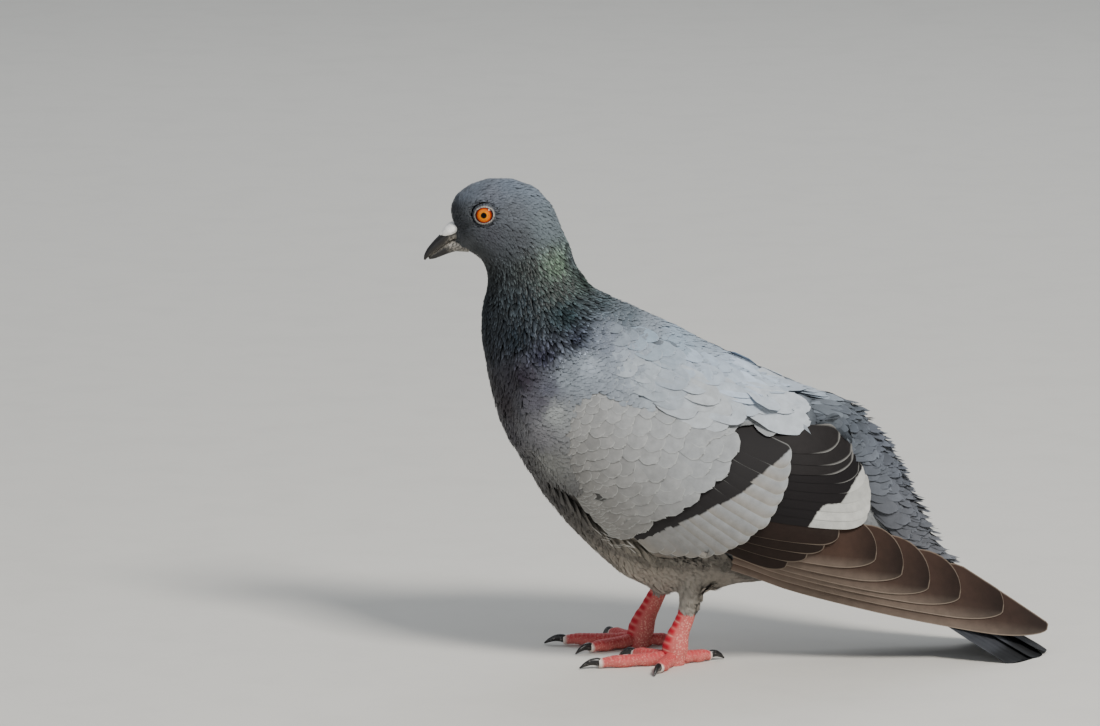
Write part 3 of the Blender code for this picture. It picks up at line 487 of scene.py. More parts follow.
def on_wing_face(flat, depth, side):
    """Points at a depth under a folded wing's face over (x, z) places in millimetres."""
    x, z = flat[..., 0], flat[..., 1]
    slope_x = wing_breadth(x + 1, z) - wing_breadth(x - 1, z)
    slope_z = wing_breadth(x, z + 1) - wing_breadth(x, z - 1)
    inward = depth * np.sqrt(1 + np.minimum(1.2, (slope_x ** 2 + slope_z ** 2) / 4))
    return np.stack([x, side * (wing_breadth(x, z) - inward), z], -1) * MM


# ---------------------------------------------------------------- materials

def add_node(tree, kind, inputs=None, **settings):
    """Add a shader node, with its settings, and its inputs as values or links."""
    node = tree.nodes.new("ShaderNode" + kind)
    for key, value in settings.items():
        setattr(node, key, value)
    for key, value in (inputs or {}).items():
        if isinstance(value, bpy.types.NodeSocket):
            tree.links.new(value, node.inputs[key])
        else:
            node.inputs[key].default_value = value
    return node


def new_material(name):
    material = bpy.data.materials.new(name)
    material.use_nodes = True
    return material, material.node_tree, material.node_tree.nodes["Principled BSDF"]


def painted(tree):
    """The colours painted on a piece."""
    return add_node(tree, "Attribute", attribute_name="Plumage").outputs["Color"]


def mark(tree, name):
    """A number stored at each point of a piece."""
    return add_node(tree, "Attribute", attribute_name=name).outputs["Fac"]


def noise(tree, scale, detail, roughness=0.5):
    place = add_node(tree, "TexCoord").outputs["Object"]
    return add_node(tree, "TexNoise", {"Vector": place, "Scale": scale, "Detail": detail,
                                       "Roughness": roughness}).outputs["Fac"]


def remap(tree, value, low, high, first=0.0, last=1.0):
    """A value from low to high, stretched to run from first to last."""
    return add_node(tree, "MapRange", {"Value": value, "From Min": low, "From Max": high,
                                       "To Min": first, "To Max": last}).outputs["Result"]


def calculate(tree, operation, *values):
    return add_node(tree, "Math", dict(enumerate(values)), operation=operation).outputs[0]


def multiply(tree, colour, share):
    return add_node(tree, "VectorMath", {0: colour, 1: share}, operation="MULTIPLY").outputs[0]


def blend(tree, share, first, second):
    return add_node(tree, "Mix", {0: share, 6: first, 7: second}, data_type="RGBA").outputs[2]


def dress_shader(tree, shader, colour, relief=None, strength=0.5, depth=0.0, **values):
    """Link a shader's colour and relief, and set its other values."""
    tree.links.new(colour, shader.inputs["Base Color"])
    if relief is not None:
        bump = add_node(tree, "Bump", {"Strength": strength, "Distance": depth, "Height": relief})
        tree.links.new(bump.outputs["Normal"], shader.inputs["Normal"])
    for key, value in values.items():
        shader.inputs[key.replace("_", " ")].default_value = value


def plumage_material(name, roughness, fringe, fringe_strength, bar=(0, 0, 0), barb_depth=0.00004,
                     sheen=0.1, shine=0.35):
    """Feathers: painted colour, pale fringes, a dark bar where marked, and fine barbs."""
    material, tree, shader = new_material(name)
    toned = multiply(tree, painted(tree), remap(tree, noise(tree, 260.0, 4.0, 0.6), 0.3, 0.7, 0.86, 1.12))
    ragged = calculate(tree, "MULTIPLY_ADD", noise(tree, 900.0, 2.0), 0.8, -0.4)
    bar_share = remap(tree, calculate(tree, "ADD", mark(tree, "Bar"), ragged), -0.35, 0.35)
    barred = blend(tree, bar_share, toned, (*bar, 1))
    fringe_share = remap(tree, mark(tree, "Rim"), 0.12, 0.55, fringe_strength, 0.0)
    # Barbs slant outward and tipward from the shaft; the map is in tenths of a metre.
    vane = add_node(tree, "UVMap", uv_map="Vane")
    split = add_node(tree, "SeparateXYZ", {0: vane.outputs["UV"]})
    across = calculate(tree, "ABSOLUTE", split.outputs["Y"])
    slant = calculate(tree, "MULTIPLY_ADD", across, -1.3, split.outputs["X"])
    comb = add_node(tree, "CombineXYZ", {0: slant})
    barbs = add_node(tree, "TexWave", {"Vector": comb.outputs[0], "Scale": 55.0, "Distortion": 0.6,
                                       "Detail": 2.0, "Detail Scale": 30.0}, bands_direction="X")
    dress_shader(tree, shader, blend(tree, fringe_share, barred, (*fringe, 1)), barbs.outputs["Fac"],
                 depth=barb_depth, Roughness=roughness, Sheen_Weight=sheen, Sheen_Roughness=0.5,
                 Specular_IOR_Level=shine)
    return material


def eye_material(colours, sizes):
    """The eyeball: a black pupil in an orange iris with a red rim, under a wet surface."""
    material, tree, shader = new_material("Orange_eye")
    ramp = add_node(tree, "ValToRGB", {"Fac": mark(tree, "Iris")})
    bands = ramp.color_ramp.elements
    pupil, iris = sizes.pupil / sizes.eyeball, sizes.iris / sizes.eyeball
    black, white_of_eye = (0.002, 0.002, 0.002), (0.01, 0.008, 0.006)
    bands[0].position, bands[0].color = 0.0, (*black, 1)
    bands[1].position, bands[1].color = 1.0, (*white_of_eye, 1)
    warm = [c * f for c, f in zip(colours.iris, (1.0, 1.5, 1.0))]
    for at, paint in ((pupil - 0.02, black), (pupil + 0.02, warm), ((pupil + iris) * 0.52, colours.iris),
                      (iris - 0.07, colours.iris_rim), (iris, (0.03, 0.006, 0.003)),
                      (iris + 0.06, white_of_eye)):
        bands.new(at).color = (*paint, 1)
    streaks = remap(tree, noise(tree, 2600.0, 3.0), 0.3, 0.7, 0.75, 1.2)
    dress_shader(tree, shader, multiply(tree, ramp.outputs["Color"], streaks), Roughness=0.5,
                 Specular_IOR_Level=0.05, Coat_Weight=0.14, Coat_Roughness=0.02)
    return material


def mottled_material(name, colour, second, amount, scale, roughness, bump_depth):
    """Skin or horn with a second colour in patches and a fine relief."""
    material, tree, shader = new_material(name)
    patches = noise(tree, scale, 6.0, 0.65)
    share = remap(tree, patches, 0.62 - amount * 0.3, 0.7 - amount * 0.1)
    dress_shader(tree, shader, blend(tree, share, (*colour, 1), (*second, 1)), patches, 0.6, bump_depth,
                 Roughness=roughness)
    return material


def painted_material(name, roughness, scale, bump_depth, contrast=0.2, coat=0.0):
    """Bare skin or horn painted by its "Plumage" colours, with a fine relief."""
    material, tree, shader = new_material(name)
    grain = noise(tree, scale, 5.0, 0.6)
    tint = multiply(tree, painted(tree), remap(tree, grain, 0.3, 0.7, 1 - contrast, 1 + contrast))
    dress_shader(tree, shader, tint, grain, depth=bump_depth, Roughness=roughness, Coat_Weight=coat)
    return material


def scaly_material(name, pale):
    """Skin painted by its "Plumage" colours, with small round pale scales where "Pebble" is set."""
    material, tree, shader = new_material(name)
    place = add_node(tree, "TexCoord").outputs["Object"]
    cells = add_node(tree, "TexVoronoi", {"Vector": place, "Scale": 1150.0}).outputs["Distance"]
    shown = calculate(tree, "MULTIPLY", remap(tree, cells, 0.18, 0.52, 1.0, 0.0), mark(tree, "Pebble"))
    patchy = remap(tree, noise(tree, 420.0, 3.0), 0.35, 0.65, 0.35, 1.0)
    share = calculate(tree, "MULTIPLY", shown, patchy)
    dress_shader(tree, shader, blend(tree, share, painted(tree), (*pale, 1)), shown, 0.7, 0.00012,
                 Roughness=0.6, Specular_IOR_Level=0.18)
    return material


# ---------------------------------------------------------------- feathers

def vane_pattern(rows, columns):
    """A closed flat vane: points (along 0 to 1, across -1 to 1, level -1 to 1) and quads."""
    deselect_all()
    bpy.ops.mesh.primitive_grid_add(x_subdivisions=rows, y_subdivisions=columns, size=2)
    vane = bpy.context.active_object
    with editing(vane):
        bpy.ops.mesh.duplicate()
        bpy.ops.mesh.flip_normals()
    for vert in vane.data.vertices:
        on_rim = max(abs(vert.co.x), abs(vert.co.y)) > 0.999
        vert.co.z = 0 if on_rim else (-1 if vert.select else 1)
    with editing(vane):
        bpy.ops.mesh.remove_doubles(threshold=1e-4)
    points = read_points(vane.data)
    points[:, 0] = (points[:, 0] + 1) / 2
    quads = np.array([list(face.vertices) for face in vane.data.polygons])
    bpy.data.objects.remove(vane, do_unlink=True)
    return points, quads


def vane_shape(pattern, length, low, high, rng, base=0.35, shoulder=0.5, roundness=1.0, jag=0.0,
               plain_side=1.5, room=None):
    """Places along the feathers, reach from the shaft, distance from the rim, and the map.

    Lengths and breadths are in millimetres; roundness is how far back from the tip the
    vane starts to narrow, in breadths; plain_side keeps the pale fringe to the tip;
    room is how far the upper vane may reach.
    """
    u, v, _ = pattern[0].T
    u = 1 - (1 - u) ** 1.5
    length = np.reshape(length, (-1, 1))
    low, high = np.reshape(low, (-1, 1)), np.reshape(high, (-1, 1))
    breadth = np.where(v < 0, low, high)
    near_tip = np.clip(1 - (1 - u) * length / (np.maximum(low, high) * np.reshape(roundness, (-1, 1))), 0, 1)
    width = (base + (1 - base) * step_between(0, shoulder, u)) * np.sqrt(1 - 0.985 * near_tip ** 2)
    half = breadth * width
    if room is not None:
        half = np.where(v > 0, np.minimum(half, room), half)
    reach = half * v
    slip = np.zeros(reach.shape)
    if jag:
        column = np.round((v + 1) * 20).astype(int)
        slip = (rng.random((len(length), 64))[:, column % 64] - 0.5) * jag * step_between(0.5, 1.0, u)
    side_gap = half * (1 - np.abs(v)) + plain_side * (1 - step_between(0.6, 0.95, u))
    rim = np.minimum(side_gap, (1 - u) * length)
    vane = np.stack([u * length / 100, reach / 100], -1)
    return u + slip, reach, rim, vane


def thickness_at(pattern, reach, thick, camber, roll):
    """Height of a vane's two faces over its plane, in millimetres."""
    _, v, w = pattern[0].T
    return w * thick * 0.5 * (1 - 0.7 * np.abs(v)) - camber * np.abs(reach * v) + roll * reach


def grow(pattern, root, middle, tip, up_root, up_tip, half, thick, rng, camber=0.12, roll=0.0, **shape):
    """Points of feathers laid along curves through root, middle and tip, in metres."""
    length = np.linalg.norm(tip - root, axis=1) / MM
    t, reach, rim, vane = vane_shape(pattern, length, half, half, rng, **shape)
    t3 = t[..., None]
    centre = (root[:, None] * (1 - t3) * (1 - 2 * t3) + middle[:, None] * 4 * t3 * (1 - t3)
              + tip[:, None] * t3 * (2 * t3 - 1))
    run = unit(root[:, None] * (4 * t3 - 3) + middle[:, None] * (4 - 8 * t3) + tip[:, None] * (4 * t3 - 1))
    up = up_root[:, None] * (1 - t3) + up_tip[:, None] * t3
    up = unit(up - run * np.sum(up * run, -1, keepdims=True))
    side = np.cross(up, run)
    height = thickness_at(pattern, reach, thick, camber, roll)
    return centre + (side * reach[..., None] + up * height[..., None]) * MM, rim, vane


def feather_piece(name, blocks):
    """One mesh out of blocks of feathers, with its colours, marks and maps."""
    starts = np.cumsum([0] + [b["points"].shape[0] * b["points"].shape[1] for b in blocks])
    points = np.concatenate([b["points"].reshape(-1, 3) for b in blocks])
    quads = []
    for block, start in zip(blocks, starts):
        each = block["points"].shape[1]
        offsets = start + np.arange(block["points"].shape[0]) * each
        quads.append((block["quads"][None] + offsets[:, None, None]).reshape(-1, 4))
    quads = np.concatenate(quads)
    mesh = bpy.data.meshes.new(name)
    mesh.vertices.add(len(points))
    mesh.loops.add(quads.size)
    mesh.polygons.add(len(quads))
    mesh.vertices.foreach_set("co", points.astype(np.float32).ravel())
    mesh.polygons.foreach_set("loop_start", np.arange(0, quads.size, 4, dtype=np.int32))
    mesh.loops.foreach_set("vertex_index", quads.ravel().astype(np.int32))
    mesh.update(calc_edges=True)
    corner = quads.ravel()
    for label, key in (("Vane", "vane"), ("OFBake", "bake")):
        layer = mesh.uv_layers.new(name=label)
        values = np.concatenate([b[key].reshape(-1, 2) for b in blocks])
        layer.data.foreach_set("uv", values[corner].astype(np.float32).ravel())
    piece = bpy.data.objects.new(name, mesh)
    bpy.context.scene.collection.objects.link(piece)
    paint_points(piece, np.concatenate([b["colour"].reshape(-1, 3) for b in blocks]))
    for label, key in (("Rim", "rim"), ("Bar", "bar")):
        mark_points(piece, label, np.concatenate([b[key].ravel() for b in blocks]))
    mesh.shade_smooth()
    mesh.set_sharp_from_angle(angle=SHARP_ANGLE)
    return piece


class SkinGuide:
    """The skin as something to lay feathers on."""

    def __init__(self, skin):
        mesh = skin.data
        self.points = read_points(mesh)
        self.normals = vertex_normals(mesh)
        mesh.calc_loop_triangles()
        triangles = np.empty(len(mesh.loop_triangles) * 3, np.int32)
        mesh.loop_triangles.foreach_get("vertices", triangles)
        self.triangles = triangles.reshape(-1, 3)
        loops = np.empty(len(mesh.loop_triangles) * 3, np.int32)
        mesh.loop_triangles.foreach_get("loops", loops)
        maps = np.empty(len(mesh.loops) * 2)
        mesh.uv_layers["OFBake"].data.foreach_get("uv", maps)
        self.maps = maps.reshape(-1, 2)[loops.reshape(-1, 3)]
        self.tree = BVHTree.FromPolygons(self.points.tolist(), self.triangles.tolist())

    def settle(self, places):
        """Nearest points of the skin, its normals there, and its triangles."""
        found = [self.tree.find_nearest(place) for place in places.tolist()]
        spots = np.array([hit[0] for hit in found])
        faces = np.array([hit[2] for hit in found])
        corners = self.triangles[faces]
        gaps = np.linalg.norm(self.points[corners] - spots[:, None], axis=2) + 1e-7
        shares = (1 / gaps) / (1 / gaps).sum(1, keepdims=True)
        return spots, unit((self.normals[corners] * shares[..., None]).sum(1)), faces, shares

    def patches(self, roots):
        """Places of roots on the skin's own map."""
        _, _, faces, shares = self.settle(roots)
        return (self.maps[faces] * shares[..., None]).sum(1)

    def scatter(self, keep, spacing_share, spacing_extra, rng, density=6.0):
        """Spots spread evenly over part of the skin; spacing follows the half width there."""
        corners = self.points[self.triangles]
        centres = corners.mean(1)
        areas = np.linalg.norm(np.cross(corners[:, 1] - corners[:, 0], corners[:, 2] - corners[:, 0]),
                               axis=1) / 2
        areas = np.where(keep(centres), areas, 0)
        _, _, _, half, _ = blend_places(centres)
        spacing = half * spacing_share + spacing_extra
        weights = areas / spacing ** 2
        number = int(density * weights.sum())
        picks = rng.choice(len(areas), number, p=weights / weights.sum())
        a, b = rng.random((2, number))
        flip = a + b > 1
        a, b = np.where(flip, 1 - a, a), np.where(flip, 1 - b, b)
        chosen = corners[picks]
        along, beside = chosen[:, 1] - chosen[:, 0], chosen[:, 2] - chosen[:, 0]
        spots = chosen[:, 0] + a[:, None] * along + b[:, None] * beside
        gaps = spacing[picks]
        cell = gaps.max()
        grid = {}
        kept = []
        keys = np.floor(spots / cell).astype(int).tolist()
        places = spots.tolist()
        limits = (gaps ** 2).tolist()
        for n, (i, j, k) in enumerate(keys):
            x, y, z = places[n]
            clear = True
            for key in ((i + p, j + q, k + r) for p in (-1, 0, 1) for q in (-1, 0, 1) for r in (-1, 0, 1)):
                for other in grid.get(key, ()):
                    ox, oy, oz = places[other]
                    if (x - ox) ** 2 + (y - oy) ** 2 + (z - oz) ** 2 < limits[n]:
                        clear = False
                        break
                if not clear:
                    break
            if clear:
                grid.setdefault((i, j, k), []).append(n)
                kept.append(n)
        return spots[kept]


def bake_patches(guide, roots, pattern, size=0.003):
    """Each feather's patch on the skin's map."""
    u, v, _ = pattern[0].T
    corner = np.stack([u, (v + 1) / 2], 1) * size
    return guide.patches(roots)[:, None] + corner[None]


def cover(guide, roots, pattern, rng, lift=1.0, spread=0.12, stretch=1.0, widen=1.0, tone=0.08,
          thick=0.16, tip_tone=1.0, root_dark=0.2, uneven=0.08, stick=0.0, **shape):
    """Feathers lying on the skin from their roots, by the places' lie, depth and size.

    stick is how far the tips near the midline follow the lie out from the body instead of
    lying down.
    """
    spots, up_root, _, _ = guide.settle(roots)
    lie, depth, length, half, colour = blend_places(spots)
    count = len(spots)
    flow = np.column_stack([lie[:, 0], np.zeros(count), lie[:, 1]])
    flow += rng.normal(0, spread, (count, 3))
    free = unit(flow)
    flow = unit(flow - up_root * np.sum(flow * up_root, 1, keepdims=True))
    length = length * stretch * rng.uniform(0.85, 1.15, count)
    half = half * widen * rng.uniform(0.88, 1.12, count)
    depth = depth * lift * rng.uniform(1 - 1.5 * uneven, 1 + uneven, count)
    half_way, up_middle, _, _ = guide.settle(spots + flow * length[:, None] * 0.5 + up_root * depth[:, None]
                                             * 0.5)
    end, up_tip, _, _ = guide.settle(spots + flow * length[:, None] * 0.98 + up_root * depth[:, None] * 0.4)
    u = pattern[0][:, 0]
    tip = end + up_tip * depth[:, None]
    if stick:
        loose = stick * rng.random(count) * (np.sum(free * up_root, 1) > 0)
        loose *= 0.25 + 0.75 * np.exp(-(spots[:, 1] / 0.008) ** 2)
        out = (spots + free * length[:, None] - tip) * loose[:, None]
        tip += out * np.minimum(1, 0.0042 / np.maximum(1e-9, np.linalg.norm(out, axis=1, keepdims=True)))
    points, rim, vane = grow(pattern, spots + up_root * 0.0001,
                             half_way + up_middle * (depth * 0.66)[:, None],
                             tip, up_root, up_tip, half / MM, thick, rng, **shape)
    shade = np.clip(np.exp(rng.normal(-0.5 * tone ** 2, tone, (count, 1, 1))), 0.4, 1.8)
    # Each feather darkens toward its root, partly its own darker base and partly painted shade where it lies
    # under its neighbours, and its tip is lightened by a painted highlight.
    shade = shade * (1 - root_dark * (1 - u) + (tip_tone - 1) * step_between(0.6, 1, u))[None, :, None]
    shade = shade * (slit_shade(spots) * streak_shade(spots) * lore_shade(spots))[:, None, None]
    return {"points": points, "quads": pattern[1], "rim": rim, "vane": vane,
            "bar": np.full(rim.shape, NO_BAR), "colour": colour[:, None] * shade,
            "bake": bake_patches(guide, spots, pattern)}


def slit_shade(points):
    """Darkening of the body feathers along the wing's lower front edge, where it leaves the body."""
    flat = points[:, (0, 2)] / MM
    gap = np.abs(distance_to_line(flat + (2.0, 1.0), SLIT))
    return 1 - 0.5 * np.exp(-(gap / 1.9) ** 2) * (np.abs(points[:, 1]) > 0.012)


def streak_shade(points):
    """Darkening of a few parted feathers on the left of the mantle."""
    gap = np.abs(distance_to_line(points[:, (0, 2)] / MM, MANTLE_STREAK))
    return 1 - 0.75 * np.exp(-(gap / 0.8) ** 2) * (points[:, 1] < 0)


def lore_shade(points):
    """Darkening from the eye forward and down to the gape."""
    gap = np.abs(distance_to_line(points[:, (0, 2)] / MM, LORE))
    return 1 - 0.5 * np.exp(-(gap / 0.9) ** 2)


def shield(tips, angles, length, low, high, depth_tip, depth_root, side, pattern, guide, rng, colour,
           thick=0.2, bar=None, bend=0.0, bake_cells=None, low_colour=None, crescent=1.0,
           camber=0.04, roll=-0.05, root_dark=0.0, tip_dark=0.0, edge=None, **shape):
    """Feathers laid on a folded wing's face, from their tips (x, z) backward; millimetres."""
    tips = np.asarray(tips, float)
    count = len(tips)
    run = np.column_stack([np.cos(angles), np.sin(angles)])
    across = np.column_stack([-run[:, 1], run[:, 0]])
    length, low, high, depth_tip, depth_root = (np.broadcast_to(value, count).reshape(-1, 1).astype(float)
                                                for value in (length, low, high, depth_tip, depth_root))
    roots = tips - run * length
    if edge is not None:
        along = 1 - (1 - pattern[0][:, 0]) ** 1.5
        shafts = roots[:, None] + run[:, None] * (along * length)[..., None]
        gap = -distance_to_line(shafts.reshape(-1, 2), edge).reshape(count, -1)
        shape["room"] = np.maximum(0.5, gap - bend * 4 * along * (1 - along))
    t, reach, rim, vane = vane_shape(pattern, length, low, high, rng, **shape)
    flat = roots[:, None] + run[:, None] * (t * length)[..., None]
    flat += across[:, None] * (reach + bend * 4 * t * (1 - t))[..., None]
    depth = depth_root + (depth_tip - depth_root) * t - thickness_at(pattern, reach, thick, camber, roll)
    points = on_wing_face(flat, depth, side)
    v = pattern[0][:, 1]
    # Each feather darkens toward its root, partly its own darker base and partly painted shade under the row
    # above.
    shade = 1 - root_dark * (1 - step_between(0.45, 0.95, pattern[0][:, 0]))
    paint = np.reshape(colour, (-1, 1, 3)) * shade[None, :, None]
    # The lower vane blends to a second colour: on the primaries their own paler outer vanes, on the great
    # coverts painted shade between the feathers.
    if low_colour is not None:
        outer = step_between(-0.2, 1.0, -v)[None, :, None]
        paint = paint * (1 - outer) + np.array(low_colour) * outer
    paint = paint * (1 - tip_dark * step_between(0.55, 0.95, pattern[0][:, 0]))[None, :, None]
    mark = np.full(rim.shape, NO_BAR)
    if bar is not None:
        mark = distance_to_line(flat.reshape(-1, 2), bar).reshape(rim.shape)
        mark = mark + rng.uniform(-0.8, 0.8, (count, 1))
    if bake_cells is None:
        bake = bake_patches(guide, on_wing_face(roots, depth_root[:, 0], side), pattern)
    else:
        first, total = bake_cells
        bake = np.stack([0.02 + 0.96 * np.broadcast_to(pattern[0][:, 0], rim.shape),
                         (first + np.arange(count)[:, None] + 0.08 + 0.84 * (v[None] + 1) / 2) / total], -1)
    quads = pattern[1] if side == LEFT else pattern[1][:, ::-1]
    return {"points": points, "quads": quads, "rim": rim / crescent, "vane": vane, "bar": mark,
            "colour": paint, "bake": bake}


def finish_piece(piece, material, slot, *nodes):
    """Give a piece its material, let it move with the bird and stand for its solids."""
    piece.data.materials.append(material)
    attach(piece, "root")
    if nodes:
        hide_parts(*nodes)


# ---------------------------------------------------------------- pieces

def hull_over(names, low, high, floor):
    """A solid hull round what some solids have between two x places and above a height."""
    slab = join([node_copy(name) for name in names], "filling")
    with editing(slab):
        for place, facing in (((low, 0, 0), (-1, 0, 0)), ((high, 0, 0), (1, 0, 0)),
                              ((0, 0, floor), (0, 0, -1))):
            bpy.ops.mesh.bisect(plane_co=Vector(place) * MM, plane_no=facing, clear_outer=True)
            bpy.ops.mesh.select_all(action="SELECT")
        bpy.ops.mesh.convex_hull()
    return slab


class PIGEON_OT_skin(bpy.types.Operator):
    """One skin for head, neck, body, folded arms and thighs"""
    bl_idname = "pigeon.skin"
    bl_label = "Skin"

    def execute(self, context):
        sizes = context.scene.pigeon_sizes
        flesh = ["head", "neck", "breast", "trunk", "mantle", "rump", "thigh_left", "thigh_right"]
        filled = flesh + ["shank_left", "shank_right"]
        fillings = [hull_over([wing], *ARM_HULL) for wing in WINGS]
        for first, last, names, floor, breadth in HOLLOWS:
            for x in range(first, last, SLAB):
                low = floor if floor is not None else np.interp(x + SLAB / 2, *zip(*SCAPULAR_TIPS)) - 5
                slab = hull_over(names, x - SLAB_OVERLAP, x + SLAB + SLAB_OVERLAP, low)
                if breadth != 1:
                    write_points(slab.data, read_points(slab.data) * (1, breadth, 1))
                fillings.append(slab)
        skin = join([node_copy(name) for name in filled] + fillings, "skin")
        with editing(skin):
            bpy.ops.mesh.quads_convert_to_tris()
            bpy.ops.mesh.remove_doubles(threshold=MERGE)
        apply_modifier(skin, "DISPLACE", strength=sizes.skin_fill, mid_level=0.0, direction="NORMAL")
        apply_modifier(skin, "REMESH", mode="VOXEL", voxel_size=sizes.skin_voxel)
        apply_modifier(skin, "SMOOTH", factor=0.5, iterations=8)
        points = read_points(skin.data)
        _, depth, _, _, _ = blend_places(points)
        on_wing = inside_outline(points[:, (0, 2)] / MM, WING_OUTLINE) & (np.abs(points[:, 1]) > 0.018)
        depth = np.where(on_wing, sizes.arm_coat, depth)
        write_points(skin.data, points - vertex_normals(skin.data) * (depth + sizes.skin_fill)[:, None])
        apply_modifier(skin, "SMOOTH", factor=0.5, iterations=4)
        write_points(skin.data, narrow_face(read_points(skin.data)))
        with editing(skin):
            bpy.ops.uv.smart_project(angle_limit=math.radians(66), island_margin=0.004)
        skin.data.uv_layers[0].name = "OFBake"
        points = read_points(skin.data)
        colours = blend_places(points)[4] * 0.55
        covert = np.array(context.scene.pigeon_colours.covert) * 0.6
        colours = np.where(on_wing[:, None], covert, colours)
        paint_points(skin, colours)
        skin.data.materials.clear()
        skin.data.shade_smooth()
        finish_piece(skin, painted_material("Down_and_skin", 0.9, 900.0, 0.0003), "belly_plumage",
                     *flesh, *WINGS)
        return {"FINISHED"}


def narrow_face(points):
    """Draw the face in toward the bill's base, in front of the eyes."""
    x, _, z = (points / MM).T
    share = step_between(-108.5, -114.5, x) * step_between(165, 169, z) * step_between(184, 179, z)
    return points * np.column_stack([np.ones(len(x)), 1 - FACE_DRAW * share, np.ones(len(x))])


def outside_wing(points, margin):
    """Which points on the body no folded wing hides, by a margin in millimetres.

    The coat runs under the wing's edge by the margin. Over the front of the wing, whose
    edge is sunk in the breast, it runs on until the first row of coverts.
    """
    flat = points[:, (0, 2)] / MM
    reach = np.abs(distance_to_line(flat, WING_OUTLINE + WING_OUTLINE[:1]))
    hidden = np.where(inside_outline(flat, WING_OUTLINE), reach, -reach) > margin
    before_rows = (distance_to_line(flat, FRONT_TIPS) > -3.0) & (flat[:, 1] > 80)
    return ~(hidden & ~before_rows & (np.abs(points[:, 1]) > 0.012))


def clear_of_face(points):
    """Which points aren't on the eye's bare ring or under the bill's base."""
    x, y, z = (points / MM).T
    eye = np.sqrt((x - EYE_CENTRE[0] + 0.5) ** 2 + (np.abs(y) - EYE_CLEAR_SIDE) ** 2
                  + (z - EYE_CENTRE[2]) ** 2)
    front = np.where(z > CERE_LOW, CERE_BACK, BILL_BACK)
    bill = (x < front) & (z < BILL_TOP) & (z > BILL_LOW) & (np.abs(y) < BILL_HALF)
    return (eye > EYE_CLEAR_RADIUS) & ~bill


def under_scapulars(points):
    """Which points on the back lie under the rows of shoulder feathers."""
    share = np.linspace(0.14, 1, 20)
    edge, ridge = along_line(SCAPULAR_TIPS, share), along_line(BACK_RIDGE, share)
    ring = [tuple(p) for p in edge - (0, 5)] + [tuple(p) for p in (edge * 0.35 + ridge * 0.65)[::-1]]
    return inside_outline(points[:, (0, 2)] / MM, ring) & (np.abs(points[:, 1]) > 0.006)


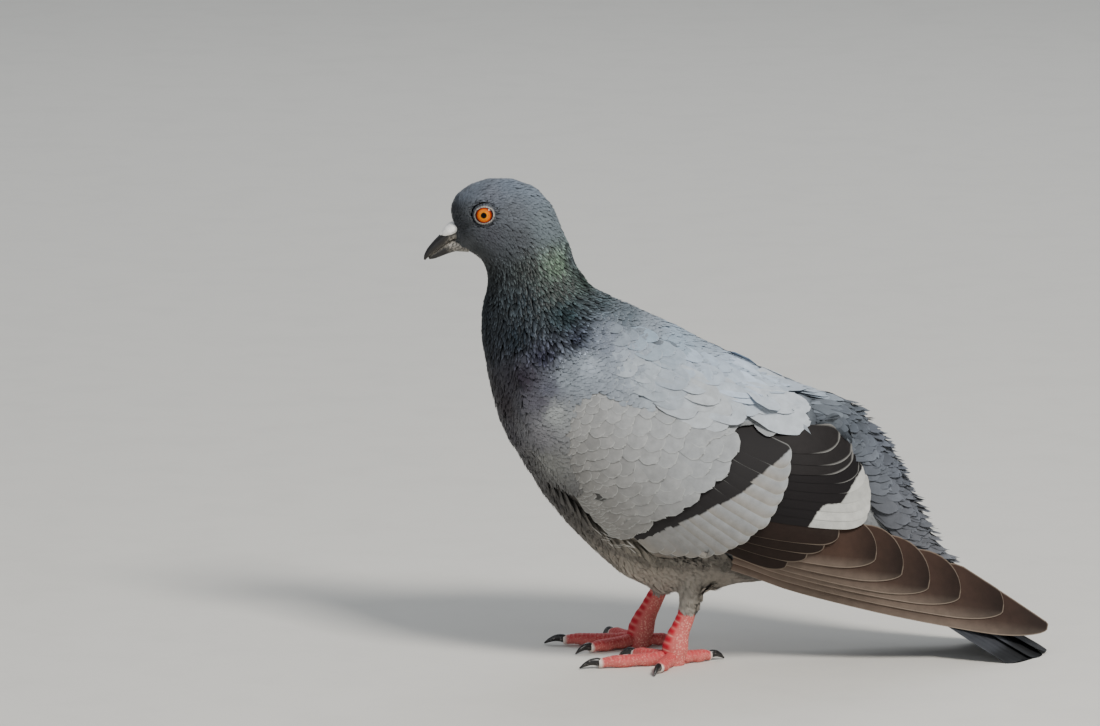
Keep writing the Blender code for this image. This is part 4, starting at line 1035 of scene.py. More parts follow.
class PIGEON_OT_coat(bpy.types.Operator):
    """Small feathers over head, neck, breast, belly, back, rump and thighs"""
    bl_idname = "pigeon.coat"
    bl_label = "Body feathers"

    def execute(self, context):
        guide = SkinGuide(bpy.data.objects["skin"])
        fine = vane_pattern(3, 2)
        small = vane_pattern(4, 2)
        broad = vane_pattern(6, 4)
        rng = np.random.default_rng(COAT_SEED)
        slate = plumage_material("Slate_plumage", 0.75, linear("#7d8791"), 0.10)
        # The iridescent sheen of neck and breast is painted into their colours; these two materials show that
        # painted colour and add some gloss.
        gloss = plumage_material("Glossy_neck_plumage", 0.45, linear("#4b5a55"), 0.05, sheen=0.0, shine=0.28)
        purple = plumage_material("Purple_sheen_breast_plumage", 0.6, linear("#57505c"), 0.08, sheen=0.05)
        soft = plumage_material("Grey_belly_plumage", 0.85, linear("#8a857e"), 0.10)
        silk = plumage_material("Silky_shoulder_plumage", 0.8, linear("#9aa0a6"), 0.10, barb_depth=0.00003,
                                sheen=0.15)
        pale = plumage_material("Pale_back_plumage", 0.75, linear("#b4bbc2"), 0.2)
        ragged = plumage_material("Ragged_rump_plumage", 0.75, linear("#8f97a3"), 0.15, barb_depth=0.00006)

        def spread(name, coats, margin, pattern, share, extra, material, slot, part=None, **how):
            """One coat: feathers rooted where its places count most."""
            def keep(centres):
                wander = centres + rng.normal(0, 0.0011, centres.shape)
                kept = in_coat(wander, coats) & outside_wing(centres, margin) & clear_of_face(centres)
                kept &= (centres[:, 2] > 0.0195) & ~under_scapulars(centres)
                return kept & part(centres) if part else kept
            roots = guide.scatter(keep, share, extra, rng)
            finish_piece(feather_piece(name, [cover(guide, roots, pattern, rng, **how)]), material, slot)

        spread("coat_face", ["head"], 3, fine, 0.92, 0.00020, slate, "head_plumage",
               lambda c: c[:, 0] < -0.099, spread=0.09, tone=0.08, thick=0.12, roundness=1.8, base=0.5)
        spread("coat_crown", ["head"], 3, fine, 1.0, 0.00015, slate, "head_plumage",
               lambda c: c[:, 0] >= -0.099, spread=0.08, tone=0.07, thick=0.13, roundness=1.8, base=0.5)
        # On the neck the tips are lightened and the tone spreads widely: painted glints of the gloss, over
        # dark bases that are partly painted shade.
        spread("coat_neck", ["neck"], 3, small, 0.86, 0.00004, gloss, "neck_plumage", spread=0.14, tone=0.62,
               thick=0.2, roundness=3.2, base=0.5, camber=0.3, tip_tone=2.1, root_dark=0.6, jag=0.2,
               widen=0.72)
        spread("coat_breast", ["breast"], -1, small, 0.95, 0.00003, purple, "breast_plumage", spread=0.08,
               tone=0.10, thick=0.10, roundness=2.2, base=0.75, camber=0.03, tip_tone=1.1, jag=0.3,
               uneven=0.05, widen=1.25)
        spread("coat_shoulder", ["shoulder"], 3, small, 0.95, 0.00003, silk, "breast_plumage", spread=0.05,
               tone=0.03, thick=0.05, roundness=1.6, base=0.8, camber=0.01, jag=0.1, uneven=0.02,
               root_dark=0.0, widen=1.6)
        spread("coat_belly", ["belly"], -1, small, 0.95, 0.0001, soft, "belly_plumage", spread=0.06,
               tone=0.04,
               thick=0.06, roundness=2.0, base=0.8, camber=0.01, jag=0.15, root_dark=0.0, uneven=0.02,
               widen=1.3)
        spread("coat_thighs", ["thigh"], 4, fine, 0.85, 0.0001, soft, "belly_plumage", spread=0.08, tone=0.05,
               thick=0.10, roundness=2.4, base=0.5, camber=0.04, jag=0.3, root_dark=0.08, uneven=0.06)
        spread("coat_vent", ["vent"], 5, broad, 1.0, 0.0004, soft, "belly_plumage", spread=0.08, tone=0.08,
               thick=0.2, jag=0.08, roundness=1.2)
        spread("coat_back", ["back"], 4, broad, 0.80, 0.0001, pale, "back_plumage", spread=0.06, tone=0.03,
               thick=0.09, jag=0.08, roundness=1.5, base=0.6, camber=0.02, root_dark=0.03, uneven=0.03)
        # The rump feathers darken strongly toward their roots, partly their own darker bases and partly
        # painted shade between the bundles.
        spread("coat_rump", ["rump"], 4, broad, 0.86, 0.0, ragged, "rump_plumage", spread=0.06, tone=0.08,
               thick=0.12, jag=0.15, roundness=1.7, uneven=0.12, camber=0.02, root_dark=0.4, stick=0.9,
               widen=1.45)
        return {"FINISHED"}


def on_side(guide, places, side, lift, over_wing):
    """Points over (x, z) places on the bird's side, and their normals.

    They stand a height above the skin, or just outside the folded wing where it is
    further out.
    """
    places = np.asarray(places, float)
    points = []
    for x, z in places * MM:
        hit = guide.tree.ray_cast(Vector((x, side * 0.1, z)), Vector((0, -side, 0)), 0.1)
        if hit[0] is None:
            hit = guide.tree.find_nearest(Vector((x, side * 0.03, z)))
        points.append(list(hit[0]))
    spots, normals, _, _ = guide.settle(np.array(points))
    spots = spots + normals * np.reshape(lift, (-1, 1)) * MM
    covered = inside_outline(places, WING_OUTLINE)
    face = on_wing_face(places, -over_wing, side)
    further = covered & (side * face[:, 1] > side * spots[:, 1])
    ahead, above = (on_wing_face(places + step, -over_wing, side) - face for step in ((1, 0), (0, 1)))
    tilt = unit(np.cross(ahead, above)) * -side
    tilt = np.where((tilt[:, 1] * side > 0)[:, None], tilt, -tilt)
    return np.where(further[:, None], face, spots), np.where(further[:, None], tilt, normals)


def scapular_row(guide, tips, angle, length, half, lift_tip, lift_root, side, pattern, rng, over_wing,
                 **shape):
    """A row of shoulder feathers lying on the back and over the wing's upper edge."""
    count = len(tips)
    run = np.column_stack([np.cos(angle), np.sin(angle)])
    roots = tips - run * np.reshape(length, (-1, 1))
    tip, up_tip = on_side(guide, tips, side, lift_tip, over_wing)
    middle, _ = on_side(guide, (tips + roots) / 2, side, (lift_tip + lift_root) / 2, over_wing * 0.5)
    root, up_root = on_side(guide, roots, side, lift_root, -1.5)
    points, rim, vane = grow(pattern, root, middle, tip, up_root, up_tip, np.broadcast_to(half, count), 0.12,
                             rng, **shape)
    colour = blend_places(np.minimum(tip, (0.017, 1, 1)))[4] * rng.normal(1, 0.03, (count, 1))
    return {"points": points, "quads": pattern[1], "rim": rim, "vane": vane,
            "bar": np.full(rim.shape, NO_BAR),
            "colour": np.broadcast_to(colour[:, None], points.shape),
            "bake": bake_patches(guide, root, pattern)}


class PIGEON_OT_wings(bpy.types.Operator):
    """Coverts in rows, the scapulars over them, and the flight feathers of each wing"""
    bl_idname = "pigeon.wings"
    bl_label = "Wings"

    def execute(self, context):
        colours = context.scene.pigeon_colours
        sizes = context.scene.pigeon_sizes
        guide = SkinGuide(bpy.data.objects["skin"])
        vane = vane_pattern(8, 6)
        blade = vane_pattern(26, 8)
        bar = tuple(colours.bar)
        shield_paint = plumage_material("Pale_covert_plumage", 0.75, linear("#bcbeba"), 0.38, bar, 0.00005)
        back_paint = plumage_material("Pale_scapular_plumage", 0.75, linear("#c0c6cc"), 0.3, bar, 0.00005)
        dark_paint = plumage_material("Barred_secondary_plumage", 0.65, linear("#c4c3be"), 0.36, bar,
                                      0.00006, 0.0, 0.2)
        brown_paint = plumage_material("Brown_primary_plumage", 0.65, linear("#a39484"), 0.45, bar,
                                       0.00006, 0.0, 0.15)
        for side, tag in SIDE_NAMES.items():
            rng = np.random.default_rng(WING_SEED)
            rows = []
            front = along_line(FRONT_TIPS, np.linspace(0, 1, 40))
            back = along_line(MIDDLE_TIPS, np.linspace(0, 1, 40))
            for place in ROW_PLACES:
                line = front * (1 - place) + back * place
                spacing = 3.0 + 4.8 * place
                number = int(np.linalg.norm(np.diff(line, axis=0), axis=1).sum() / spacing)
                share = (np.arange(number) + 0.382 * len(rows) % 1) / number
                tips = along_line(line, share) + rng.normal(0, 0.35 + 0.55 * place * (1 - 0.5 * place),
                                                            (number, 2))
                angle = np.radians(-64 + 30 * share ** 1.2 + 10 * place) + rng.normal(0, 0.09, number)
                rows.append(shield(tips, angle, (9.0 + 17 * place) * rng.uniform(0.92, 1.06, number),
                                   spacing * 0.8, spacing * 0.8, rng.uniform(0.2, 0.4, number), 1.3, side,
                                   vane,
                                   guide, rng, covert_colour(colours, tips, rng, 0.035), thick=0.10, jag=0.04,
                                   roundness=0.8, root_dark=0.12, plain_side=0.5, camber=0.02, roll=-0.03))
            share = (np.arange(GREAT_COUNT) + 0.5) / GREAT_COUNT
            tips = along_line(GREAT_TIPS, share) + rng.normal(0, 0.25, (GREAT_COUNT, 2))
            rows.append(shield(tips, np.radians(-46 + 22 * share), 34.0, 4.6, 5.2, 0.9, 2.2, side, blade,
                               guide, rng,
                               covert_colour(colours, tips + (4, 0), rng, 0.03) * 0.94, thick=0.24,
                               bar=FIRST_BAR, roundness=0.75, base=0.6, plain_side=0.25,
                               # The great coverts' lower vanes darken toward their edges as painted shade
                               # between the feathers.
                               low_colour=np.array(colours.covert_low) * 0.74))
            lone = np.array([LONE_TIP])
            rows.append(shield(lone, np.radians([-34]), 13.0, 3.8, 3.6, 0.5, 1.0, side, vane, guide, rng,
                               covert_colour(colours, lone, rng, 0.02) * 0.9, thick=0.16, roundness=1.0))
            finish_piece(feather_piece("covert_feathers_" + tag, rows), shield_paint, "covert_plumage")

            rows = []
            edge, ridge = (along_line(line, np.linspace(0, 1, 40)) for line in (SCAPULAR_TIPS, BACK_RIDGE))
            for level, (place, number, long, wide) in enumerate(SCAPULAR_ROWS):
                share = 0.12 + 0.88 * (np.arange(number) + (0.15, 0.55)[level % 2]) / number
                tips = along_line(edge * (1 - place) + ridge * place, share)
                tips += rng.normal(0, 0.7 if level else 0.3, (number, 2))
                angle = np.radians(-30 + 16 * share) + rng.normal(0, 0.05, number)
                size = 0.45 + 0.55 * step_between(0.0, 0.5, share)
                rows.append(scapular_row(guide, tips, angle, long * size, wide * size ** 0.6,
                                         2.3 + 0.08 * level,
                                         1.5, side, vane, rng, 0.35 + 0.1 * level, roundness=1.2,
                                         camber=0.015, jag=0.05))
            finish_piece(feather_piece("scapular_feathers_" + tag, rows), back_paint, "back_plumage")

            along = rng.random(DOWN_COUNT)
            tips = along_line(DOWN_LINE, along) + rng.normal(0, 0.8, (DOWN_COUNT, 2))
            tuft = shield(tips, np.radians(rng.uniform(-50, 15, DOWN_COUNT)),
                          rng.uniform(2.5, 5.0, DOWN_COUNT), 0.16, 0.16,
                          rng.uniform(0.0, 1.4, DOWN_COUNT), 1.8, side, vane_pattern(4, 2), guide, rng,
                          np.tile(np.array(linear("#aaa7a0")), (DOWN_COUNT, 1)), thick=0.12, roundness=3)
            finish_piece(feather_piece("white_down_" + tag, [tuft]), shield_paint, "covert_plumage")

            blocks = [flight(SECONDARIES, side, blade, guide, rng, sizes.blade, colours.pale, bar=SECOND_BAR,
                             bake_cells=(0, 9), roundness=1.0),
                      flight(TERTIALS, side, blade, guide, rng, sizes.blade, colours.tertial,
                             bake_cells=(6, 9), roundness=1.3, crescent=2.0)]
            finish_piece(feather_piece("secondary_feathers_" + tag, blocks), dark_paint,
                         "secondary_feathers", "secondaries_" + tag, "tertials_" + tag)
            blocks = [flight(OUTER_SECONDARIES, side, blade, guide, rng, sizes.blade, colours.lobe,
                             bake_cells=(0, 10), roundness=1.1, plain_side=0.3),
                      flight(PRIMARIES, side, blade, guide, rng, sizes.blade, colours.primary,
                             low_colour=colours.primary_base, bake_cells=(4, 10), edge=PRIMARY_EDGE,
                             roundness=(2.0, 1.5, 1.3, 1.2, 1.1, 1.1), tip_dark=0.68, plain_side=0.1)]
            layers = ("outer_secondaries", "inner_primaries", "middle_primaries", "outer_primaries")
            finish_piece(feather_piece("primary_feathers_" + tag, blocks), brown_paint, "primary_feathers",
                         *(f"{layer}_{tag}" for layer in layers))
        return {"FINISHED"}


def covert_colour(colours, tips, rng, spread):
    """Colour of each wing covert: warmer toward the lower front of the shield, and darker
    there, partly its own grey and partly painted shade.

    A few feathers round one spot low on the shield are painted nearly black.
    """
    place = (tips[:, 0] + 80) / 70 + (tips[:, 1] - 60) / 90
    tint = colours_between(colours.covert_low, colours.covert, np.clip(place, 0, 1.2) / 1.2)
    dark_spot = np.linalg.norm(tips - (-57.5, 73.0), axis=1) < 2.4
    tone = np.clip(0.48 + 0.35 * place, 0.52, 0.86) * rng.normal(1, spread, len(tips))
    return tint * np.where(dark_spot, 0.12, tone)[:, None]


def colours_between(first, second, share):
    share = np.asarray(share)[:, None]
    return np.array(first)[None] * (1 - share) + np.array(second)[None] * share


def flight(feathers, side, pattern, guide, rng, thickness, colour, **how):
    """Long flight feathers of one group, from their table; the right wing hangs a little lower."""
    tips = np.array([f[0] for f in feathers], float)
    roots = np.array([f[1] for f in feathers], float)
    if side == RIGHT and "edge" in how:
        tips[:, 1] -= FAR_WING_DROP * step_between(40, 120, tips[:, 0])
        how["edge"] = [(x, z - FAR_WING_DROP * float(step_between(40, 120, x))) for x, z in how["edge"]]
    low, high, depth_tip, depth_root = np.array([f[2:] for f in feathers]).T
    gap = tips - roots
    paint = np.tile(np.array(colour), (len(tips), 1)) * rng.normal(1, 0.05, (len(tips), 1))
    return shield(tips, np.arctan2(gap[:, 1], gap[:, 0]), np.linalg.norm(gap, axis=1), low, high, depth_tip,
                  depth_root, side, pattern, guide, rng, paint, thick=thickness / MM, bend=-1.5, base=0.7,
                  shoulder=0.2, camber=0.01, roll=-0.015, **how)


def tail_point(along, across, level):
    """A point of the tail plane: distance from its root, from the midline, and level."""
    run = np.array((math.cos(TAIL_SLOPE), 0, -math.sin(TAIL_SLOPE)))
    rise = np.array((math.sin(TAIL_SLOPE), 0, math.cos(TAIL_SLOPE)))
    root = np.array((TAIL_ROOT_X, 0, (TAIL_END_X - TAIL_ROOT_X) * math.tan(TAIL_SLOPE)))
    level = level - abs(across) * math.tan(TAIL_DROOP)
    return (root + run * along + rise * level + np.array((0, across, 0))) * MM


class PIGEON_OT_tail(bpy.types.Operator):
    """Twelve tail feathers, stacked and resting on the floor"""
    bl_idname = "pigeon.tail"
    bl_label = "Tail"

    def execute(self, context):
        colours = context.scene.pigeon_colours
        sizes = context.scene.pigeon_sizes
        blade = vane_pattern(24, 8)
        rng = np.random.default_rng(TAIL_SEED)
        length = (TAIL_END_X - TAIL_ROOT_X) / math.cos(TAIL_SLOPE)
        blocks = []
        for n in range(2 * TAIL_PAIRS):
            pair, side = n // 2, (LEFT, RIGHT)[n % 2]
            turn = TAIL_SPREAD * pair / (TAIL_PAIRS - 1)
            level = -TAIL_STEP * pair - (0.25 if side == RIGHT else 0.0)
            reach = length - 1.5 - 1.4 * pair
            offset = 4.5 if pair else 1.0
            tilt = math.tan(TAIL_DROOP) * min(pair, 2) / 2
            rise = unit(np.array([(math.sin(TAIL_SLOPE), side * tilt, math.cos(TAIL_SLOPE))]))
            root, middle, tip = (tail_point(reach * s * math.cos(turn), side * (reach * s * math.sin(turn)
                                 + TAIL_ROOT_SPACING * pair + offset * s), level + lift)
                                 for s, lift in ((0.02, 0), (0.5, 0.0), (1.0, 0.3)))
            points, rim, vane = grow(blade, root[None], middle[None], tip[None], rise, rise,
                                     np.array([8.5]), sizes.blade / MM, rng, base=0.35, shoulder=0.8,
                                     roundness=0.8, camber=0.06)
            points[..., 2] = np.maximum(points[..., 2], 0.0)
            u, v, _ = blade[0].T
            band = step_between(0.70, 0.76, u)[:, None]
            paint = np.array(colours.tail) * (1 - band) + np.array(colours.tail_band) * band
            bake = np.stack([0.02 + 0.96 * u, (n + 0.08 + 0.84 * (v + 1) / 2) / 12], -1)
            blocks.append({"points": points, "quads": blade[1], "rim": rim, "vane": vane,
                           "bar": np.full(rim.shape, NO_BAR), "colour": paint[None] * rng.normal(1, 0.02),
                           "bake": bake[None]})
        paint = plumage_material("Slate_tail_plumage", 0.6, linear("#5c5e63"), 0.06, barb_depth=0.00006,
                                 sheen=0.0)
        nodes = [f"tail_feather_{k + 1}_{tag}" for k in range(TAIL_PAIRS) for tag in SIDE_NAMES.values()]
        finish_piece(feather_piece("tail_feathers", blocks), paint, "tail_feathers", *nodes)
        return {"FINISHED"}


# Stations of the bill and cere: upper point and lower point (x, z), half breadth.
UPPER_BILL = (((-110, 178.5), (-108.5, 170.4), 4.6), ((-116.1, 176.2), (-114.6, 170.2), 4.0),
              ((-119, 173), (-117.3, 168.6), 3.3), ((-122, 170.1), (-120.3, 166.4), 2.6),
              ((-124.6, 167.1), (-122.9, 164.4), 1.9), ((-125.9, 164.6), (-124.9, 162.9), 1.2),
              ((-126.2, 162.5), (-125.8, 161.9), 0.4))
LOWER_BILL = (((-109, 171.4), (-108, 165.2), 4.3), ((-114.2, 170.6), (-113.3, 165.6), 3.7),
              ((-117.1, 168.9), (-116.7, 164.7), 3.0), ((-120, 166.8), (-119.8, 163.5), 2.2),
              ((-122.5, 164.8), (-122.4, 162.5), 1.5), ((-124.3, 163.4), (-124.3, 162.3), 0.6))
CERE = (((-111.8, 177.3), (-111.6, 175.2), 2.4), ((-113.6, 177.8), (-112.2, 173.6), 5.0),
        ((-115.7, 177.3), (-113.7, 172.6), 5.2), ((-117.4, 175.9), (-115.6, 171.7), 4.7),
        ((-118.9, 174.0), (-117.5, 171.3), 3.4), ((-120.0, 172.6), (-119.5, 171.3), 1.2))


class PIGEON_OT_bill(bpy.types.Operator):
    """Upper and lower bill, and the cere over the nostrils"""
    bl_idname = "pigeon.bill"
    bl_label = "Bill and cere"

    def execute(self, context):
        colours = context.scene.pigeon_colours
        horn = painted_material("Flaky_dark_horn", 0.45, 1500.0, 0.00025, contrast=0.5, coat=0.1)
        skin = mottled_material("White_cere_skin", tuple(colours.cere), (0.62, 0.6, 0.57), 0.1, 900.0, 0.6,
                                0.0002)
        dark, flake = np.array(colours.horn), np.array(colours.flake)
        for name, stations, paint, slot in (("bill_upper", UPPER_BILL, horn, "bill_horn"),
                                            ("bill_lower", LOWER_BILL, horn, "bill_horn"),
                                            ("cere", CERE, skin, "cere_skin")):
            tops, bottoms = np.array([row[0] for row in stations]), np.array([row[1] for row in stations])
            line = [(x, 0, z) for x, z in (tops + bottoms) / 2]
            tall = np.linalg.norm(tops - bottoms, axis=1) / 2
            marks = np.linalg.norm(np.diff(np.array(line), axis=0), axis=1).cumsum()
            at = np.concatenate([[0], marks]) / marks[-1]
            even = np.linspace(0, 1, 24)
            wide = [row[2] for row in stations]
            rng = np.random.default_rng(BILL_SEED)

            def relief(share, angle, name=name):
                """The cere is cleft along its middle; the bill's edge is a faint ridge."""
                if name == "cere":
                    cleft = np.exp(-(np.cos(angle) / 0.10) ** 2) * (np.sin(angle) > 0)
                    return -0.5 * cleft * np.sin(share * math.pi)
                return 0.05 * np.exp(-((np.sin(angle) + 0.5) / 0.1) ** 2)

            def horn_colour(share, angle, name=name):
                """Dark horn, with pale flakes round the gape and along the cutting edge."""
                flaky = rng.random(len(share)) ** 1.3
                toward = -1 if name == "bill_upper" else 1
                gape = step_between(0.55, 0.2, share) * step_between(-0.2, 0.5, toward * np.sin(angle))
                whole = 0.8 * step_between(0.6, 0.35, share) if name == "bill_lower" else 0.0
                edge = np.exp(-((np.sin(angle) - 0.75 * toward) / 0.25) ** 2) * 0.5
                mix = np.clip((gape + whole + edge) * flaky, 0, 1)[:, None]
                return dark * (1 - mix) + flake * mix

            piece = tube("shaped_" + name, line, np.interp(even, at, wide), np.interp(even, at, tall),
                         40, 36, relief, horn_colour, settle=3)
            finish_piece(piece, paint, slot, name)
        return {"FINISHED"}


class PIGEON_OT_eyes(bpy.types.Operator):
    """Eyeballs with orange irises, set in beaded rings of bare skin"""
    bl_idname = "pigeon.eyes"
    bl_label = "Eyes"

    def execute(self, context):
        colours = context.scene.pigeon_colours
        sizes = context.scene.pigeon_sizes
        wet = eye_material(colours, sizes)
        bare = painted_material("Bare_eye_ring", 0.6, 1300.0, 0.0001, contrast=0.55)
        for side, tag in SIDE_NAMES.items():
            look = Vector((EYE_LOOK[0], side * EYE_LOOK[1], EYE_LOOK[2])).normalized()
            turn = Vector((0, 0, 1)).rotation_difference(look).to_matrix()
            centre = Vector((EYE_CENTRE[0], side * EYE_CENTRE[1], EYE_CENTRE[2])) * MM
            deselect_all()
            bpy.ops.mesh.primitive_uv_sphere_add(segments=64, ring_count=48, radius=sizes.eyeball)
            ball = bpy.context.active_object
            ball.name = "eyeball_" + tag
            points = read_points(ball.data)
            reach = np.linalg.norm(points[:, :2], axis=1) / sizes.eyeball
            reach = np.where(points[:, 2] > 0, reach, 1)
            mark_points(ball, "Iris", reach)
            write_points(ball.data, points @ np.array(turn).T + np.array(centre))
            ball.data.shade_smooth()
            finish_piece(ball, wet, "eye", "eye_" + tag)
            deselect_all()
            bpy.ops.mesh.primitive_torus_add(major_segments=96, minor_segments=16, major_radius=1,
                                             minor_radius=RING_TUBE)
            ring = bpy.context.active_object
            ring.name = "eye_ring_" + tag
            points = read_points(ring.data)
            angle = np.arctan2(points[:, 1], points[:, 0])
            out = (np.linalg.norm(points[:, :2], axis=1) - 1) / RING_TUBE
            over = points[:, 2] / RING_TUBE
            opening = RING_OPENING * np.hypot(np.cos(angle), RING_FLATNESS * np.sin(angle))
            bead = BEAD_HEIGHT * np.cos(angle * BEADS) * (over > 0)
            radius = opening + np.where(out > 0, out * 1.2, out * 0.36) + bead * 0.5
            rise = np.sqrt((sizes.eyeball / MM) ** 2 - opening ** 2) - 0.05
            fall = np.where(out > 0, out * 1.25, out * 0.4)
            height = rise + over * 0.36 * (1 - 0.6 * np.clip(out, 0, 1)) - fall
            height += bead
            lift = np.stack([radius * np.cos(angle), radius * np.sin(angle), height], 1) * MM
            write_points(ring.data, lift @ np.array(turn).T + np.array(centre))
            # The outer skirt, under the face feathers, is painted their dark slate, darkened further as
            # painted shade beneath them.
            rim = step_between(0.06, 0.3, out)[:, None]
            paint_points(ring, np.array(colours.orbit) * (1 - rim) + np.array(linear("#44484f")) * rim)
            ring.data.shade_smooth()
            finish_piece(ring, bare, "head_plumage")
        return {"FINISHED"}


def tube(name, line, radii_side, radii_up, rings, sides, relief, colour_at, settle=6):
    """A closed tube along a line of points, in millimetres, standing on or over the floor.

    relief(share, angle) moves its skin outward; colour_at(share, angle) paints it.
    """
    deselect_all()
    bpy.ops.mesh.primitive_grid_add(x_subdivisions=rings - 1, y_subdivisions=sides, size=2)
    piece = bpy.context.active_object
    piece.name = name
    piece.data.name = name
    flat = read_points(piece.data)
    share, angle = (flat[:, 0] + 1) / 2, (flat[:, 1] + 1) * math.pi
    centre = along_line(line, np.linspace(0, 1, rings))
    for _ in range(settle):
        centre[1:-1] = centre[:-2] * 0.25 + centre[1:-1] * 0.5 + centre[2:] * 0.25
    ahead = unit(np.gradient(centre, axis=0))
    aside = unit(np.cross(ahead, (0, 0, 1) if abs(ahead[0, 2]) < 0.8 else (1, 0, 0)))
    up = np.cross(aside, ahead)
    ring = np.round(share * (rings - 1)).astype(int)
    bump = relief(share, angle)
    wide = (np.interp(share, np.linspace(0, 1, len(radii_side)), radii_side) + bump) * np.cos(angle)
    tall = (np.interp(share, np.linspace(0, 1, len(radii_up)), radii_up) + bump) * np.sin(angle)
    points = centre[ring] + aside[ring] * wide[:, None] + up[ring] * tall[:, None]
    points[:, 2] = np.maximum(points[:, 2], 0)
    write_points(piece.data, points * MM)
    paint_points(piece, colour_at(share, angle))
    with editing(piece):
        bpy.ops.mesh.remove_doubles(threshold=MERGE)
        bpy.ops.mesh.fill_holes(sides=0)
        bpy.ops.mesh.normals_make_consistent(inside=False)
    piece.data.shade_smooth()
    return piece


def scutes(share, length, each):
    """1 on the plates across a tube, 0 in the grooves between them."""
    return np.abs(np.sin(share * length / each * math.pi)) ** 0.22


class PIGEON_OT_feet(bpy.types.Operator):
    """Shanks with scutes, ringed toes and curved claws"""
    bl_idname = "pigeon.feet"
    bl_label = "Feet"

    def execute(self, context):
        colours = context.scene.pigeon_colours
        sizes = context.scene.pigeon_sizes
        toe_radius = sizes.toe / MM
        red, pale, white = np.array(colours.leg), np.array(colours.leg_pale), np.array(linear("#e2d8ce"))
        skin = scaly_material("Scaly_red_skin", tuple(pale))
        horn = mottled_material("Dark_claw_horn", tuple(colours.claw), (0.18, 0.16, 0.15), 0.15, 900.0,
                                0.32, 0.0001)
        for side, tag in SIDE_NAMES.items():
            leg = LEGS[side]
            hub = np.array((*leg["hub"], 0.0))
            line = [(x, hub[1], z) for x, z in leg["shank"]]
            reach = np.linalg.norm(np.diff(np.array(line), axis=0), axis=1).sum()

            def front_share(angle):
                """How much of the shank's front a place is on."""
                return step_between(0.35, 0.7, -np.sin(angle))

            def shank_relief(share, angle):
                """Scutes across the front; the small round scales of the sides and back are left to the
                skin's material.
                """
                front = front_share(angle)
                return (0.32 * scutes(share, reach, 2.9) - 0.15) * front

            def shank_colour(share, angle):
                front = front_share(angle)[:, None]
                plate = scutes(share, reach, 2.9)[:, None]
                return (pale * (1 - plate) + red * plate) * front + (red * 0.7 + pale * 0.3) * (1 - front)

            piece = tube("shank_skin_" + tag, line, (4.2, 4.7, 3.4, 2.9, 2.9, 2.7),
                         (4.6, 5.2, 3.8, 3.4, 3.4, 3.2),
                         110, 48, shank_relief, shank_colour)
            points = read_points(piece.data) / MM
            middle = np.interp(points[:, 2], [z for _, z in leg["shank"]], [x for x, _ in leg["shank"]])
            mark_points(piece, "Pebble", step_between(-2.2, -0.6, points[:, 0] - middle) * 0.95)
            finish_piece(piece, skin, "leg_skin", "shank_" + tag)
            for toe, tip in leg["toes"].items():
                end = np.array((*tip, 0.0))
                whole = np.linalg.norm(end - hub)
                forward = (end - hub) / whole
                base = whole - CLAW_LENGTHS[toe]
                line = [hub + forward * base * s + np.array((0, 0, h))
                        for s, h in ((0.0, 3.4), (0.3, 2.75), (0.6, 2.55), (0.85, 2.5), (1.02, 2.2))]

                def toe_relief(share, angle, base=base):
                    """Plates over the top, pads and knuckles below."""
                    top = step_between(-0.2, 0.5, np.sin(angle))
                    ring = 0.24 * scutes(share, base, 1.7) - 0.12
                    rings = np.abs(np.sin(share * base / 1.5 * math.pi))
                    pad = 0.22 * rings * np.abs(np.cos(angle * 8)) - 0.08
                    knuckle = 0.25 * np.cos(share * 3 * 2 * math.pi)
                    return ring * top + (pad + knuckle) * (1 - top)

                def toe_colour(share, angle, base=base):
                    top = step_between(-0.1, 0.6, np.sin(angle))[:, None]
                    plate = scutes(share, base, 1.7)[:, None]
                    cuticle = step_between(0.93, 0.99, share)[:, None]
                    base_red = red * 0.88 + pale * 0.12
                    over = base_red * plate + (base_red * 0.6 + pale * 0.4) * (1 - plate)
                    under = red * 0.7 + pale * 0.3
                    return (over * top + under * (1 - top)) * (1 - cuticle) + white * cuticle

                radii = [toe_radius * f for f in (1.0, 0.98, 0.94, 0.92, 0.92, 0.60)]
                piece = tube(f"{toe}_skin_{tag}", line, radii, [r * 0.94 for r in radii], 64, 28, toe_relief,
                             toe_colour)
                height = read_points(piece.data)[:, 2] / MM
                mark_points(piece, "Pebble", 0.4 + 0.35 * step_between(3.0, 1.0, height))
                finish_piece(piece, skin, "leg_skin", f"{toe}_{tag}")
                claw_line = [hub + forward * (base + CLAW_LENGTHS[toe] * s) + np.array((0, 0, h))
                             for s, h in ((-0.15, 2.1), (0.15, 2.9), (0.42, 2.85), (0.72, 1.95),
                                          (0.99, 0.55))]
                short = toe.replace("_toe", "")
                nail = tube(f"{short}_nail_{tag}", claw_line, (1.2, 1.3, 1.1, 0.75, 0.25),
                            (1.45, 1.7, 1.35, 0.9, 0.3), 28, 16, lambda share, angle: 0 * share,
                            lambda share, angle: np.zeros((len(share), 3)))
                finish_piece(nail, horn, "claw_horn", f"{short}_claw_{tag}")
        return {"FINISHED"}


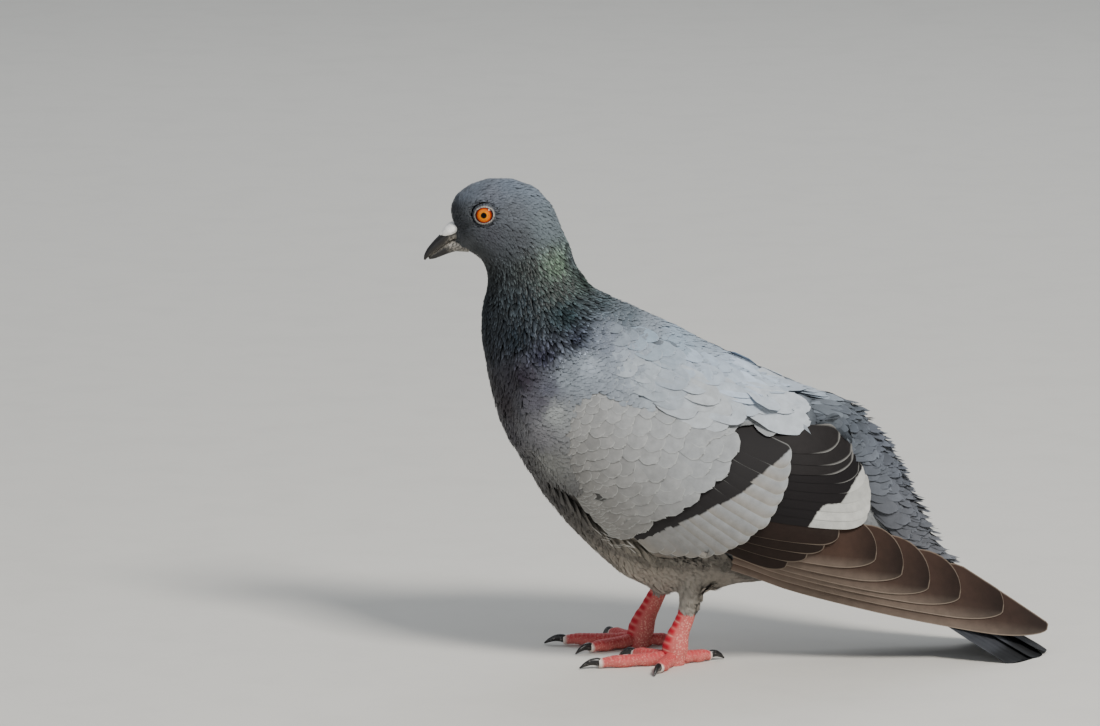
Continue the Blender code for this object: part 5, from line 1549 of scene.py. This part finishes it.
class PIGEON_OT_stage(bpy.types.Operator):
    """A pale floor, soft lights and the camera"""
    bl_idname = "pigeon.stage"
    bl_label = "Stage"

    def execute(self, context):
        colours = context.scene.pigeon_colours
        deselect_all()
        bpy.ops.mesh.primitive_plane_add(size=FLOOR_SIZE)
        floor = bpy.context.active_object
        floor.name = "floor"
        paint = mottled_material("Pale_floor", tuple(colours.floor), tuple(c * 0.97 for c in colours.floor),
                                 0.5, 30.0, 0.8, 0.0001)
        floor.data.materials.append(paint)
        world = bpy.data.worlds.new("Soft_sky")
        world.use_nodes = True
        world.node_tree.nodes["Background"].inputs["Color"].default_value = SKY_TINT
        world.node_tree.nodes["Background"].inputs["Strength"].default_value = SKY_STRENGTH
        context.scene.world = world
        for name, place, size, watts, tint in LAMPS:
            bpy.ops.object.light_add(type="AREA", location=place)
            lamp = bpy.context.active_object
            lamp.name = name + "_light"
            lamp.data.size = size
            lamp.data.energy = watts
            lamp.data.color = tint
            lamp.rotation_mode = "QUATERNION"
            lamp.rotation_quaternion = (Vector(place) - LAMP_AIM).to_track_quat("Z", "Y")
        level = math.cos(CAMERA_ELEVATION)
        back = Vector((math.sin(CAMERA_AZIMUTH) * level, -math.cos(CAMERA_AZIMUTH) * level,
                       math.sin(CAMERA_ELEVATION)))
        bpy.ops.object.camera_add(location=CAMERA_AIM + back * CAMERA_DISTANCE)
        camera = bpy.context.active_object
        camera.rotation_mode = "QUATERNION"
        camera.rotation_quaternion = back.to_track_quat("Z", "Y")
        camera.data.lens = CAMERA_LENS
        camera.data.sensor_width = CAMERA_SENSOR
        context.scene.camera = camera
        return {"FINISHED"}


STEPS = (PIGEON_OT_skin, PIGEON_OT_coat, PIGEON_OT_wings, PIGEON_OT_tail, PIGEON_OT_bill, PIGEON_OT_eyes,
         PIGEON_OT_feet, PIGEON_OT_stage)


class PIGEON_PT_panel(bpy.types.Panel):
    """The pigeon's sizes, colours and steps"""
    bl_idname = "PIGEON_PT_panel"
    bl_label = "Pigeon"
    bl_space_type = "VIEW_3D"
    bl_region_type = "UI"
    bl_category = "Pigeon"

    def draw(self, context):
        for group in (context.scene.pigeon_sizes, context.scene.pigeon_colours):
            for key in group.bl_rna.properties.keys():
                if key not in {"rna_type", "name"}:
                    self.layout.prop(group, key)
        for step in STEPS:
            self.layout.operator(step.bl_idname)


CLASSES = (PigeonSizes, PigeonColours, *STEPS, PIGEON_PT_panel)


def register():
    for item in CLASSES:
        bpy.utils.register_class(item)
    bpy.types.Scene.pigeon_sizes = bpy.props.PointerProperty(type=PigeonSizes)
    bpy.types.Scene.pigeon_colours = bpy.props.PointerProperty(type=PigeonColours)


def unregister():
    del bpy.types.Scene.pigeon_sizes
    del bpy.types.Scene.pigeon_colours
    for item in reversed(CLASSES):
        bpy.utils.unregister_class(item)


def main():
    register()
    bpy.ops.pigeon.skin()
    bpy.ops.pigeon.coat()
    bpy.ops.pigeon.wings()
    bpy.ops.pigeon.tail()
    bpy.ops.pigeon.bill()
    bpy.ops.pigeon.eyes()
    bpy.ops.pigeon.feet()
    bpy.ops.pigeon.stage()


if __name__ == "__main__":
    main()
